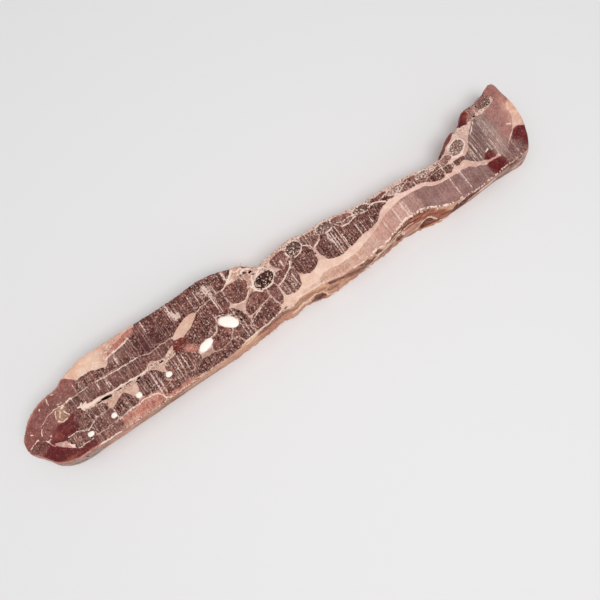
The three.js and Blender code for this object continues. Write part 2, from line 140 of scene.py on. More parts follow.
# Muscles on the cut, by kind: smooth closed outlines. What lies between them is fat.
MUSCLES = {
    "rind": [
        [(-266, -9), (-263, 5), (-252, 15), (-238, 22), (-222, 27), (-213, 25.6), (-206, 22.2),
        (-201.6, 17.5),
        (-203, 11), (-210, 8), (-228, 8), (-237, 5.6), (-243, 1.5), (-247.5, -4.5), (-254, -7)],
        [(-262, -11), (-255, -10.2), (-248, -7), (-247, -12), (-248, -17), (-253, -21), (-263, -17)],
        [(-246, -5), (-242, 0), (-235.5, 4.6), (-229.5, 5.8), (-228.5, -2), (-232, -7), (-241, -12.5),
        (-244.5, -10)],
    ],
    "wet": [
        [(-249, -17), (-245.5, -15), (-240, -19.5), (-233, -25.8), (-229.5, -30), (-229, -35), (-232, -40),
        (-245, -36), (-255, -26), (-253, -20)],
        [(-241, -11), (-235, -5), (-228, -6.4), (-223, -6.8), (-218.5, -3.6), (-212.5, -3.8), (-210.5, -6),
        (-213.5, -11), (-217, -15.5), (-221, -18), (-230, -17.8), (-238, -16.5)],
        [(-228, -31.6), (-220, -31.2), (-212.5, -31.8), (-211.5, -35), (-214.5, -38), (-220, -38.4),
        (-227, -36)],
        [(190.4, -26), (194, -22.6), (199, -21.6), (204, -24), (203.4, -27.6), (198, -29.4),
        (192.5, -28.6)],
        [(189.8, -32), (197, -31.4), (204, -31.8), (207.6, -35), (205.5, -39), (198, -43), (190.4, -43.5),
        (189.6, -37)],
        [(226, -22.6), (231, -18.8), (237, -19.8), (241, -25), (238, -32), (231.5, -38), (226, -34.8),
        (223.4, -28.6)],
        [(189.6, 10.8), (193, 14), (197, 18), (202, 22), (204.6, 20.6), (203.4, 15.6), (199.6, 12.2),
        (195.4, 10.6), (191.4, 9.8)],
    ],
    "ice": [
        [(-229.3, -2.5), (-227, 3.6), (-222, 5.4), (-219, 2.4), (-219.4, -2.6), (-223.6, -5.6), (-227, -5)],
    ],
    "mauve": [
        [(-219, 5.8), (-205, 6), (-186, 5.6), (-168, 4.4), (-157, 3), (-147, 2.2), (-139, 0.2), (-129, 0),
        (-121, 0.6), (-118.4, -1), (-122, -4.4), (-131, -8), (-138.6, -8), (-143, -5.6), (-147.6, -7.6),
        (-156, -8.2), (-167, -8), (-180, -6.8), (-190, -5.2), (-200, -4.4), (-205.5, -2.4), (-211, -2.6),
        (-217, -2.8), (-219.6, 0)],
        [(-209, -22.6), (-204, -20), (-196, -19.6), (-189, -19.8), (-187.4, -23), (-188.4, -27),
        (-192, -29.2), (-201, -29.6), (-208, -28.8)],
        [(-211.6, -31.8), (-203, -31), (-193, -30.6), (-187.6, -31.8), (-186, -35), (-189, -38.4),
        (-200, -38.6), (-211, -37.6)],
        [(-46, -36.8), (-36, -36), (-28, -34.6), (-31, -37.6), (-38, -39), (-46, -39)],
        [(218.5, -27), (223, -24.6), (224.6, -29), (226.6, -35.5), (231, -40), (222, -43), (208, -42),
        (207.5, -38), (211, -33), (215, -29.6)],
    ],
    "granular": [
        [(-215.5, -5.6), (-209.8, -5.4), (-207.6, -9), (-206.6, -13.6), (-207.4, -18.4), (-212, -20.4),
        (-219, -18.6), (-216, -12)],
        [(-229, -19.8), (-222, -19.6), (-215, -22.4), (-209.8, -24.6), (-210, -28.6), (-215, -30),
        (-223, -29.8), (-228, -27)],
        [(-205, 8), (-203.4, 12), (-200.6, 15.6), (-192, 16.4), (-186.4, 16.4), (-180, 13.2), (-174, 12),
        (-168, 16.4), (-158, 17.6), (-148, 19), (-145, 12), (-147, 5.6), (-158, 5.4), (-172, 7.6),
        (-188, 7.8)],
        [(-161.8, -18), (-159.4, -13), (-153, -11.6), (-146.6, -11.4), (-142.4, -14.4), (-139.4, -18.4),
        (-139, -22.6), (-140.6, -27.4), (-147, -28.6), (-155, -26.6), (-160.6, -24)],
        [(-146, -32), (-136, -31.2), (-123, -31.4), (-118, -33.4), (-122, -36.2), (-130, -35),
        (-137, -36.4),
        (-144, -36)],
    ],
    "dark": [
        [(-186.6, -20), (-182.4, -17.4), (-178, -15), (-174.4, -13.8), (-172.4, -17), (-170, -20),
        (-169.4, -25), (-174, -28.2), (-182, -28.2), (-187, -26)],
        [(-147.4, 20), (-143, 21.6), (-138, 25.6), (-130, 28.6), (-100, 30), (-80, 31), (-62, 28),
        (-53, 26),
        (-47.6, 22), (-47.4, 18.8), (-51, 15.8), (-55, 13), (-66, 10.4), (-80, 9.6), (-90, 8.2), (-99, 8),
        (-106.4, 6.4), (-112, 3.6), (-117, 1.2), (-124, 2), (-133, 1.4), (-141, 2), (-146.6, 5)],
        [(-109.4, -5.4), (-104, -2.8), (-97, 0.2), (-92, 3.8), (-86, 6.4), (-78, 8.2), (-70, 9),
        (-62.6, 9.4), (-62.4, 2), (-63, -4.6), (-68, -7), (-74, -7.4), (-79.4, -5.6), (-81.6, -9),
        (-84.6, -14.6),
        (-88.6, -17), (-92, -14.6), (-97, -14.2), (-100.6, -17.2), (-104, -17), (-107.4, -12.6)],
        [(-117, -33.4), (-108, -31.4), (-97, -31.8), (-88, -32.2), (-80, -31.4), (-74.6, -30.4),
        (-71.8, -33), (-71.6, -37), (-80, -38.8), (-95, -39), (-110, -38.2), (-118, -36.8)],
        [(-57.4, -27.4), (-54, -26.2), (-47, -22.8), (-40, -20.8), (-35, -19.2), (-31.6, -18.6),
        (-30.4, -22), (-29.8, -27), (-32, -31.8), (-38, -34.2), (-48, -35), (-55, -34.4), (-58, -31)],
        [(-30.6, -12), (-27, -9.8), (-24, -10.6), (-22.6, -14), (-22, -20), (-23, -26), (-26.4, -29.2),
        (-28.8, -27), (-29.8, -20)],
        [(-1.6, -7), (0.4, -4), (3, -2.8), (8, -2.8), (12.4, -1.4), (15.4, 0.8), (17.4, 0.4), (19, -3),
        (19.6, -6.6), (19.2, -10.6), (20.4, -12.4), (18.6, -16), (13, -19), (7, -20), (2, -17),
        (-1, -13.6),
        (-1.8, -10)],
        [(23.6, -7), (28, -2.2), (33, -0.8), (40, -1.6), (47, 0.4), (52, -2.8), (60, -4.2), (68, -3.4),
        (76, -3.8), (84, -3.2), (91, -4.6), (95.6, -7), (93.6, -8.8), (88, -11.6), (84, -15.6),
        (77, -18.2), (70, -19.6), (64, -19.4), (55, -21), (46, -22.6), (38, -23), (31, -21.4), (26, -18),
        (23.8, -12)],
        [(93.4, -3.2), (97.6, -2.8), (101, -2.6), (105.4, -6), (101, -6.6), (97, -6.6)],
        [(136.8, -13.6), (141, -11.6), (147, -10.9), (153, -11.2), (154, -14), (151.6, -18), (145.6, -18.2),
        (140, -15.8)],
        [(166.8, -12.4), (172, -12), (177, -13), (175, -16), (168.4, -17.2)],
    ],
    "void": [
        [(-65, -8.4), (-61.6, -9.4), (-58.6, -14), (-58.4, -18), (-61, -21.8), (-64, -20.8), (-63.4, -16),
        (-65.4, -12)],
    ],
    "ruddy": [
        [(-61.4, 8.6), (-55, 9.8), (-47.4, 10.2), (-43.8, 9.6), (-41.6, 5.6), (-43, 0), (-46, -4.4),
        (-51, -7),
        (-57, -6.8), (-61, -4)],
        [(-54, -17), (-51, -11.6), (-46.6, -8.4), (-43, -6.6), (-40.6, -7.6), (-37.6, -10.4), (-32, -10.4),
        (-31, -14), (-33, -17.6), (-41, -18.8), (-48, -20.4), (-53, -19.2)],
        [(-15, 5), (-13.6, 7.6), (-9, 8.2), (-3.4, 7.4), (-1.6, 4.6), (-1.6, 1.4), (-5, -1.8), (-9, -3.8),
        (-12, -1.4), (-14.6, 2)],
        [(-20.8, -11), (-18, -7), (-14, -4.6), (-9.4, -5.6), (-6, -3.2), (-2.4, -0.2), (-0.6, -1.4),
        (-3.4, -5),
        (-7.4, -8.2), (-12, -11), (-17, -12.8), (-20, -12.6)],
        [(-89.4, -19), (-84.4, -18), (-81, -14.8), (-79, -18), (-74.4, -22.4), (-77.6, -26), (-83, -28.6),
        (-92.4, -28), (-91.6, -25), (-89.6, -22.4)],
        [(-75.6, -27.6), (-70.4, -23.6), (-64, -22.4), (-59.6, -22.4), (-57.4, -26), (-59.6, -30),
        (-59, -34.4), (-66, -35.6), (-70.6, -34), (-72, -30.6)],
        [(50.6, 7.6), (56, 6.4), (62, 3.6), (64.8, 0), (62, -2.6), (54.4, -2.4), (51.8, 0.6), (50, 4)],
        [(25, 3.6), (27.6, 4.6), (29.8, 2.4), (29, -1), (26, -3.4), (24.2, -3.6), (23.8, -0.6)],
        [(87, -1.2), (90, 1), (97, 1), (101, -0.8), (97, -1.8), (90, -2.4)],
        [(121.4, -0.6), (126, -1.2), (131, -3.4), (135.4, -7), (131, -6.4), (125.4, -5)],
    ],
    "brown": [
        [(-122.6, -8), (-118, -4.4), (-113.4, -2.6), (-110.8, -4), (-110.6, -9), (-112, -11),
        (-121, -11.2)],
    ],
    "salmon": [
        [(-186, -32), (-178, -30.6), (-165, -29.6), (-155, -29), (-151, -31), (-149, -38), (-160, -38.6),
        (-175, -38), (-184, -37)],
        [(-168, 20.4), (-160, 23.4), (-150, 25.6), (-141, 26), (-144, 22.4), (-151, 21), (-160, 20)],
        [(-113.4, -13), (-108, -12.2), (-106.4, -16.4), (-108.4, -19), (-112, -16.6)],
        [(-118, -37), (-122, -38.4), (-134, -38.4), (-145, -38), (-138, -36.8), (-130, -36)],
    ],
    "frosted": [
        [(-206, -8.8), (-200, -10.4), (-192.6, -11), (-190.4, -13.4), (-191.4, -17), (-200, -17.6),
        (-205.6, -17.2)],
        [(-134.4, -17.6), (-130.6, -13.6), (-124, -13.2), (-118, -13.6), (-112.6, -17.6), (-109, -21),
        (-108.8, -27), (-112, -29.8), (-122, -30), (-132, -29.4), (-134.6, -25)],
        [(-19.6, -16), (-15, -14.4), (-9.4, -11.4), (-4.6, -8.8), (-2.4, -9), (-1.8, -13), (-2, -18),
        (-4, -23),
        (-9, -26), (-16, -27), (-19.6, -25.4), (-20.2, -20)],
        [(17.6, 8.4), (22, 8.8), (25.4, 7), (25, 3), (23.2, -0.6), (22.6, -4), (19.8, -3.4), (18.4, 0),
        (17.2, 3)],
        [(26.6, 7.4), (30, 7.6), (31, 5), (29.4, 4.6), (27.4, 5.6)],
        [(111.6, -6.2), (116, -3.8), (120.4, -2.8), (124, -5.6), (127, -8.8), (121, -9.6), (115, -8)],
        [(127.6, -7.8), (133, -7.8), (139, -10), (136.6, -12.2), (131, -11)],
        [(137, -9.4), (145, -8.6), (153, -8), (153, -9.6), (144, -10.4)],
        [(150, -5), (154, -4.6), (163, -4.6), (166.4, -8), (160, -10.6), (155.4, -10.4), (154.6, -7)],
        [(156, -12.2), (162, -12.2), (162.8, -17), (157.4, -18.6)],
        [(201.4, 10.8), (203, 16), (204, 22), (214, 22), (222, 23), (229.6, 22), (229.4, 15), (224, 11.8),
        (216, 11.4), (208, 10.6)],
    ],
    "striped": [
        [(184.6, -10), (187, -6.6), (190.6, -2.4), (196, 0.6), (200, 4), (203.6, 7.8), (208, 9.6),
        (215, 9.4), (218, 0), (218, -12), (215, -22), (211, -27.6), (204.4, -24), (199, -20.8),
        (193.6, -21.6), (189.6, -26), (185, -24.8), (179.4, -19.6), (177.4, -15.8), (180, -12.6)],
        [(204, -25), (211, -27), (215, -29), (210, -33), (207.6, -36), (205, -30.6)],
    ],
    "pale_warm": [
        [(10, -31.4), (16, -27.8), (35, -29.6), (50, -29.2), (60, -27.2), (72, -23.6), (78, -30), (76, -40),
        (60, -41.4), (40, -41), (24, -39.4), (13, -36)],
    ],
    "pale": [
        [(58, -27.6), (70, -24.2), (80, -20.8), (90, -16.8), (100, -14.2), (110, -13.6), (120, -14),
        (125, -24), (122, -34.6), (112, -32.4), (98, -32.6), (84, -36), (68, -40), (58, -38)],
    ],
    "pale_cool": [
        [(108, -14), (118, -13.8), (130, -14.8), (140, -19.8), (150, -21.8), (160, -22.6), (170, -22.8),
        (174, -23), (180, -26.4), (188, -30.6), (189, -36), (188.4, -45), (176, -47), (150, -45.6),
        (134, -41), (122, -34.6), (110, -32), (106, -24)],
    ],
    "head": [
        [(216.4, 9.6), (222, 11), (229.6, 13), (231, 16), (229, 21.6), (234, 30), (246, 29), (246, 8),
        (239.6, 7), (235, 1), (234, -6), (231, -13), (227.6, -17.6), (222, -22), (217.4, -26),
        (212.6, -28), (214.6, -18), (216.6, -4)],
    ],
}

# What shows on the two natural walls, by kind: outlines in x and height. Elsewhere they are fat.
NEAR_WALL = {
    "skin": [[(-275, -6), (-224, -6), (-219, 8), (-214, 22), (-217, 40), (-275, 40)]],
    "cream": [[(-77, 34), (-57, 34), (-57.4, 25), (-63, 23.6), (-70, 27)]],
    "umber": [[(-60, 29.4), (-50, 30.4), (-38, 30.6), (-26, 30), (-23, 26), (-30, 22.6), (-42, 21.6),
        (-52, 22),
        (-60, 25)],
        [(15, 31), (24, 30), (34, 29), (44, 26), (54, 21), (58, 16), (50, 13), (42, 17), (34, 20),
        (26, 23.6), (16, 26)],
        [(13, 20), (21, 21), (25, 17), (16, 15)], [(36, 12), (46, 11), (52, 7), (42, 5), (35, 8)],
        [(74, 17), (82, 18), (85, 12), (79, 8), (74, 11)],
        [(209, 27), (216, 27.6), (219, 21), (212, 17)], [(192, 16), (200, 18), (206, 13), (196, 10)]],
    "tan": [[(-26, 27), (-16, 31), (-4, 30), (6, 29), (13, 25), (9, 21), (0, 25), (-12, 23), (-23, 23)],
        [(-212, 15), (-190, 12), (-160, 13), (-158, 6), (-190, 4), (-214, 6)],
        [(-140, 12), (-112, 9), (-92, 11), (-92, 5), (-116, 3), (-140, 5)]],
    "rosy": [[(98, 13), (108, 17), (119, 17), (117, 8), (108, 1), (98, 2)],
        [(172, 27), (184, 28.6), (193, 27), (191, 20), (178, 17)],
        [(216, 12), (228, 17), (236, 10), (226, 4)]],
    "redwall": [[(60, 18), (68, 24), (80, 28.6), (94, 29), (108, 30.6), (122, 31.4), (130, 29.6), (139, 25),
        (147, 15), (142, 8), (130, 6), (121, 3), (118, 10), (121, 18), (108, 19), (96, 17),
        (86, 19),
        (72, 14)]],
    "liver": [[(46, 30), (51, 31), (57, 27), (56, 20), (50, 22)],
        [(-4.4, 13), (-1, 18), (3, 20), (8, 18.6), (10.6, 13), (8, 7), (3, 5), (-2, 8)],
        [(57, 23), (62, 24.6), (65, 17), (60, 12), (56, 16)],
        [(64, 30.4), (70, 30), (69, 25), (64.6, 25)],
        [(90, 18), (95, 19.6), (98, 13), (94, 8), (89.6, 11)],
        [(115, 8), (121, 16), (124, 18), (130, 12), (126, 5), (118, 3)],
        [(141, 8), (144, 20), (152, 29), (160, 28), (158, 17), (150, 6)],
        [(154, 5), (157, 19), (160, 27), (166, 30.8), (174, 30.4), (171, 24), (166, 19), (161, 11)]],
    "wet": [[(191, 32), (204, 31.6), (214, 29.4), (215, 26.6), (204, 25.4), (194, 26)]],
    "head": [[(234, -6), (230, 14), (238, 40), (262, 40), (262, -6)]],
}
FAR_WALL = {
    "skin": [[(-275, -6), (-226, -6), (-220, 14), (-224, 40), (-275, 40)]],
    "rind": [[(-224, -6), (-206, -6), (-203, 16), (-208, 40), (-222, 40), (-218, 16)]],
    "dark": [[(-138, -6), (-120, 4), (-96, -2), (-70, 3), (-54, -6), (-47, 8), (-50, 40), (-74, 31),
        (-104, 40),
        (-132, 40), (-142, 16)]],
    "ruddy": [[(x - 5, -2), (x + 1, 5), (x + 5, -1), (x + 7, 13), (x + 3, 20), (x + 6, 30), (x - 2, 25),
        (x - 7, 31), (x - 5, 16)] for x in (-9, 24, 58, 93, 124, 153)],
    "umber": [[(-196, 6), (-180, 2), (-160, 8), (-152, 18), (-172, 23), (-194, 16)]],
    "wet": [[(164, 6), (186, 8), (204, 12), (206, 24), (190, 29), (170, 27)]],
    "head": [[(218, -6), (262, -6), (262, 40), (212, 40), (210, 20)]],
}
# Tones of the near wall: x, height, half sizes, sRGB and share of it at the middle. The dark ones at x -190,
# -145 and -120 are painted shade on the lower wall.
WALL_FAT = (208, 162, 140)
WALL_WARMTH = (-0.14, -0.05, 0.08)  # how much less red, green and blue along the middle of the walls
WALL_TONES = [
    (-236, 20, 20, 10, (150, 112, 106), 0.6), (-190, 24, 34, 8, (204, 146, 130), 0.7),
    # Painted shade on the lower wall: the dark tones at x -190, -145 and -120.
    (-190, 3, 36, 3, (132, 88, 76), 0.7), (-104, 25, 26, 7, (232, 186, 162), 0.8),
        (-145, 14, 20, 13, (142, 98, 80), 0.8),
    (-120, 3, 40, 3, (150, 108, 84), 0.6), (-80, 28, 12, 5, (230, 176, 158), 0.8),
    (-60, 12, 24, 9, (200, 154, 138), 0.8), (-36, 14, 16, 9, (204, 150, 134), 0.7),
    (-14, 16, 12, 8, (216, 170, 152), 0.8), (4, 28, 14, 4, (238, 196, 168), 0.7),
    (20, 8, 16, 7, (208, 162, 142), 0.7), (24, 15, 9, 3, (226, 180, 154), 0.6),
    (40, 6, 14, 6, (190, 138, 122), 0.7), (60, 8, 10, 6, (188, 134, 118), 0.7),
    (84, 6, 18, 6, (184, 136, 120), 0.8), (136, 4, 12, 4, (216, 164, 142), 0.8),
    (118, 27, 14, 3.6, (140, 82, 68), 0.6), (131, 15, 8, 6, (160, 98, 80), 0.5),
    (182, 10, 16, 6, (196, 144, 132), 0.8), (204, 12, 18, 14, (150, 124, 121), 1),
    (222, 18, 12, 12, (172, 148, 143), 0.9), (241, 16, 8, 12, (206, 156, 136), 0.7),
        (-214, 16, 8, 14, (168, 136, 122), 0.8),
]
# Pale strings and torn ends on the near wall, some of them painted highlights along the ridges of its folds,
# and the creases between its folds, painted dark as shade: half width, strength and points in x and height.
# Heights count a third for their widths, so that each lies like a flat band.
WALL_STRINGS_AND_HIGHLIGHTS = [
    (0.8, 1.5, [(-9, 13), (-4, 19), (2, 23.4), (7.6, 22), (12, 15)]),
        (0.9, 1.5, [(-58, 32), (-40, 32), (-26, 32)]),
    (0.8, 1.3, [(-24, 20), (-10, 19), (-4, 15)]), (0.8, 1.4, [(10, 18), (14, 9), (20, 3)]),
    (0.5, 1.3, [(48, 12), (54, 15), (60, 14)]),
    (0.6, 1.5, [(62, 18), (72, 22), (84, 24)]), (0.8, 1.7, [(85, 19), (88, 17)]),
    (0.8, 1.8, [(56, 10), (62, 13)]), (0.7, 1.6, [(66, 21), (70, 25)]), (0.6, 1.6, [(68, 31), (73, 29.6)]),
    (0.5, 1.5, [(64, 23.6), (76, 26), (88, 25.4), (95, 25.4)]),
    (0.5, 1.0, [(70, 17), (84, 19.6), (96, 21), (108, 22.4)]), (0.6, 1.6, [(91, 21), (93, 19)]),
    (0.7, 1.9, [(96.6, 18), (99, 15)]),
    # A painted highlight along the ridge of the fold from x 112 to 131.
    (0.8, 1.5, [(112, 10), (118, 15.6), (122, 21.6), (124.6, 21), (131, 15)]),
    (0.7, 1.2, [(134, 7), (142, 6), (150, 3)]), (0.8, 1.5, [(150, 25), (156, 30)]),
    (0.6, 1.3, [(172, 23), (182, 24.6), (192, 23)]),
    (0.6, 1.0, [(216, 12), (230, 19)]),
    (0.6, 1.3, [(27, 8), (31, 3), (37, 4)]), (0.6, 1.2, [(-72, 12), (-62, 8)]),
]
# Each crease is carved as a groove and painted dark as shade.
WALL_SHADED_CREASES = [
    (0.7, 0.8, [(-6, 14), (-2.6, 19.4), (3, 21.6), (8.4, 20), (11.6, 13), (8.6, 5.6), (3, 3.6), (-3, 7)]),
    (0.6, 0.7, [(14, 28), (26, 27), (40, 22), (50, 18), (58, 13)]),
        (0.6, 0.6, [(30, 14), (42, 14), (54, 9)]),
    (0.6, 0.7, [(66, 20.6), (80, 23), (94, 23), (110, 24.4)]),
        (0.7, 0.7, [(60, 12), (74, 14.6), (88, 15.6)]),
    (0.6, 0.6, [(96, 18), (106, 21.6), (118, 26), (126, 30.6)]),
        (0.6, 0.7, [(76, 30), (92, 28), (108, 29)]),
    (0.8, 0.8, [(117, 12), (122, 18.4), (125, 17.6), (131, 11)]),
        (0.6, 0.7, [(132, 10), (142, 10), (148, 6)]),
    (0.7, 0.9, [(152, 4), (156, 18), (159, 26)]), (0.6, 0.6, [(174, 15), (188, 16), (200, 9)]),
    (0.9, 1.3, [(219, 28), (221, 26.6)]), (0.6, 0.8, [(206, 27), (212, 22)]),
        (0.5, 0.6, [(214, 18), (228, 22)]),
    (0.6, 0.6, [(-22, 22), (-10, 21.6), (2, 24)]), (0.5, 0.5, [(-58, 20), (-40, 18), (-26, 20)]),
    (0.6, 0.9, [(-238, 22), (-236, 17)]), (0.6, 0.9, [(-232, 12), (-230, 8)]),
        (0.5, 0.8, [(-224, 20), (-220, 14)]),
    (0.5, 0.7, [(-243, 10), (-240, 7)]), (0.8, 1, [(-228, 24), (-226.6, 22)]),
    (0.6, 1, [(-234, 4), (-231, 3)]), (0.4, 0.6, [(-210, 3), (-180, 4), (-150, 3)]),
]
# Swellings and hollows of the near wall: x, height, half sizes and how far they stand out.
WALL_SWELLS = [
    (3, 13, 7.4, 8, 1.3), (60, 19, 5, 5, -0.9), (93, 13, 5, 5, -0.7), (80, 13, 5, 4, -0.5),
        (122, 9, 9, 5.4, -1.4),
    (120, 23, 12, 4.6, 1.1), (163, 20, 8, 7, -1), (-42, 26, 18, 4, -0.5), (35, 24, 20, 3.6, -0.8),
    (-14, 17, 12, 4, 0.8), (20, 8, 12, 6, 0.7), (207, 21, 6, 4, 0.8), (-66, 28, 8, 4, 0.5),
        (100, 8, 10, 6, 0.7),
    (148, 16, 6, 9, 0.6), (182, 24, 12, 3, 0.5), (224, 22, 8, 3, 0.6), (46, 7, 9, 4, -0.6),
]

# Places where fat lies open between the muscles of the tail half, which otherwise touch along seams.
FAT_PATCHES = [
    [(-216, 33), (-212.6, 24.4), (-206, 22.8), (-201.6, 18.6), (-197, 16.8), (-187, 17.2), (-181, 14.6),
     (-175, 12.8),
     (-171, 17), (-168, 21.4), (-160, 24.6), (-150, 27), (-141, 28), (-138, 33)],
    [(-208.6, -2.6), (-203, -4.8), (-195, -6.2), (-185, -7.4), (-175, -8.2), (-165, -8.8), (-156, -9),
     (-150, -8.6), (-146.6, -6.4), (-143, -5.2), (-139, -7.8), (-131, -9), (-125, -7.2), (-121.4, -6),
     (-122, -9.4), (-126, -12), (-132, -13.2), (-136, -15), (-137.4, -19), (-140.6, -15.6), (-144, -12.4),
     (-149, -10.8), (-156, -11.4), (-161.6, -13.4), (-162.4, -19), (-165, -21), (-168.6, -20),
     (-174, -14.6), (-178.4, -15.4),
     (-184, -18.4), (-189.4, -17), (-187, -12.6), (-192, -10.4), (-199, -9), (-205.6, -7)],
    [(-117, -0.6), (-113, 2.6), (-107, 6), (-100, 7.8), (-92, 7.6), (-93, 4.6), (-97, 1.4), (-103, -1.8),
     (-109, -4), (-114.4, -3.4)],
    [(-239.6, -18.6), (-236, -19.4), (-233.4, -20.4), (-233.2, -22), (-231.6, -24.8), (-229.8, -26.6),
     (-231.4, -26), (-235, -23.4), (-238, -20.8)],
    [(-46, 22), (-46, 18.6), (-50, 14.4), (-56, 12.6), (-58, 11.2), (-52, 10.8), (-43.6, 10.2), (-41, 7),
     (-40.8, 3), (-42, -0.6), (-45, -5.2), (-43, -5.6), (-39.6, -5), (-38.4, -4), (-34, -1), (-27, 2),
     (-20, 0), (-18, -2.4), (-16, -2.6), (-13, -2.8), (-16.4, 1.4), (-16.2, 7), (-13, 10.4), (-22, 14),
     (-36, 24)],
    [(-62.6, -4), (-57, -7.4), (-51.4, -8), (-47.6, -6.4), (-50, -9.4), (-53.4, -12.4), (-55.6, -17),
     (-59, -11),
     (-62.6, -7)],
    [(-26, -40), (-28, -34), (-27.6, -29.6), (-24.6, -26.6), (-22.6, -22), (-21.6, -15), (-19.8, -21),
     (-17, -25.6), (-9, -27.6), (-3.6, -24), (-1, -17.6), (4, -19.8), (10, -20.8), (16, -19), (19.6, -14.6),
     (20.6, -8), (22.6, -6.6), (24, -15), (28, -20.8), (34, -23), (42, -23.4), (52, -22), (62, -20),
     (72, -19.6),
     (80, -17.6), (86, -13), (94, -9.2), (104, -8), (112, -9), (124, -11.6), (134, -12.4), (142, -17.6),
     (152, -19.4), (162, -18.4), (168, -17.8), (173, -16.2), (178, -18.6), (184, -23), (190, -27.4),
     (198, -29.8), (204.6, -30), (204.6, -31.4), (197, -31.2), (188, -30.2), (182, -27.4), (176, -24),
     (170, -22.4), (160, -22.4), (150, -21.4), (140, -19.4), (132, -15.2), (124, -13.8), (110, -13),
     (100, -13.4), (90, -16.6), (80, -20.6), (70, -24), (58, -27), (50, -28.4), (35, -28.6), (16, -27),
     (12, -30), (10, -33), (6, -40)],
    [(-24, 14), (-20, 14), (-4, 16), (20, 15), (60, 11), (110, 6), (150, 2), (164, 2), (172, 9), (183, 12),
     (190, 9.6), (195, 8), (197.6, 4.6), (203, 8.6), (208, 11.6), (215, 12.8), (224, 14.4), (231, 17.4),
     (232, 13), (225, 9.4), (216, 8.2), (208, 9), (201, 7.4), (196, 4), (191, -1), (187.4, -8),
     (181, -13.6), (176, -12),
     (168, -10.9), (161, -11.2), (163, -9.4), (172, -10.2), (179, -8.8), (184, -5), (186.2, 0),
     (184.6, 3.6),
     (180, 5), (174, 3.4), (168, -1), (161, -5), (150, -5.2), (144, -4.4), (124, -0.9), (102, 0.7),
     (82, 2.3),
     (66, 4), (52, 6.8), (40, 9), (21, 9.5), (9, 11.7), (-4, 10.6), (-18, 9.2)],
    [(248, 5), (241.4, 4.6), (238, 1), (236.6, -5), (236, -11), (231.6, -15.4), (227.6, -17.6), (233, -17),
     (238, -19), (248, -24)],
    [(-268, -37.6), (-240, -38.2), (-210, -39), (-190, -39.2), (-150, -39), (-110, -39.2), (-78, -39),
     (-60, -37), (-34, -35), (-28, -44), (-268, -44)],
]

# Tints of the fat: x, y, half sizes and sRGB. Elsewhere it is the plain fat.
PLAIN_FAT = (206, 162, 148)
RING_FAT = (242, 214, 202)
FAT_TINTS = [
    (-196, 26, 14, 5, (240, 190, 160)), (-182, 22, 12, 8, (246, 208, 184)),
        (-160, 21, 13, 5, (196, 138, 120)),
    (-150, 26, 14, 3, (226, 178, 154)), (-104, 3, 14, 6, (226, 186, 162)), (-115, 0, 4, 3, (236, 204, 184)),
    (-176, -13, 14, 4, (204, 160, 140)), (-200, -6, 8, 3, (230, 200, 184)),
        (-150, -9, 30, 1.6, (234, 204, 190)),
    (-128, -11, 8, 3, (222, 186, 168)), (-143, -8, 4, 4, (214, 176, 160)),
        (-237, -20, 4, 3, (180, 146, 134)),
    (-231, -25.4, 3, 2, (244, 210, 196)), (-165, -17, 5, 5, (214, 174, 160)),
        (20, -26, 50, 6, (255, 220, 200)), (105, -11, 50, 4, (250, 214, 200)),
    (160, -20, 20, 3, (232, 194, 178)), (189, 5, 8, 6, (224, 186, 174)), (184, -4, 5, 6, (190, 156, 144)),
        (195, -1, 5, 6, (190, 160, 150)),
    (240, -2, 6, 8, (236, 178, 148)), (236, -15, 6, 4, (222, 172, 156)), (241, 8, 4, 6, (214, 142, 122)),
        (-40, 17, 7, 4, (214, 164, 144)),
    (-38, 8, 7, 6, (190, 138, 122)), (-27, 7, 6, 3, (212, 168, 152)), (-42, -2, 4, 9, (196, 150, 134)),
        (-96, -27, 10, 3, (160, 118, 108)), (-110, -40, 90, 2, (206, 154, 136)),
    (-215, -39, 14, 2, (212, 146, 128)), (-8, -31, 20, 5, (234, 188, 162)),
        (-8, -36, 18, 2, (206, 160, 140)),
    (224, 11, 8, 3, (222, 184, 172)), (192, 8, 4, 3, (230, 192, 180)), (186, -6, 4, 6, (206, 170, 158)),
    (4, -31.2, 11, 1.3, (196, 152, 130)), (-14, -36, 12, 1.6, (196, 150, 128)),
        (207, 15, 5, 4, (196, 158, 146)), (-54, -10, 6, 5, (198, 156, 142)),
        (80, 3, 110, 7, (206, 168, 156)),
    (-8, 7, 14, 8, (210, 168, 154)), (-20, -17, 4, 10, (206, 162, 152)), (224, 11, 9, 3, (236, 196, 180)),
]
# Where the fat is torn and crumbly: x, y and half sizes.
CRUMBLED = [(-36, 11, 11, 9), (-20, 5, 6, 7), (-152, -10, 55, 3), (-158, 20, 14, 6), (190, 10, 12, 5),
        (214, 12, 16, 5), (-150, -39, 90, 2.5), (6, 10, 26, 3.5), (45, 7, 22, 3.5), (82, 2, 22, 3.5),
        (120, -1, 24, 3.5), (152, -5, 16, 4), (-46, -2, 8, 8)]
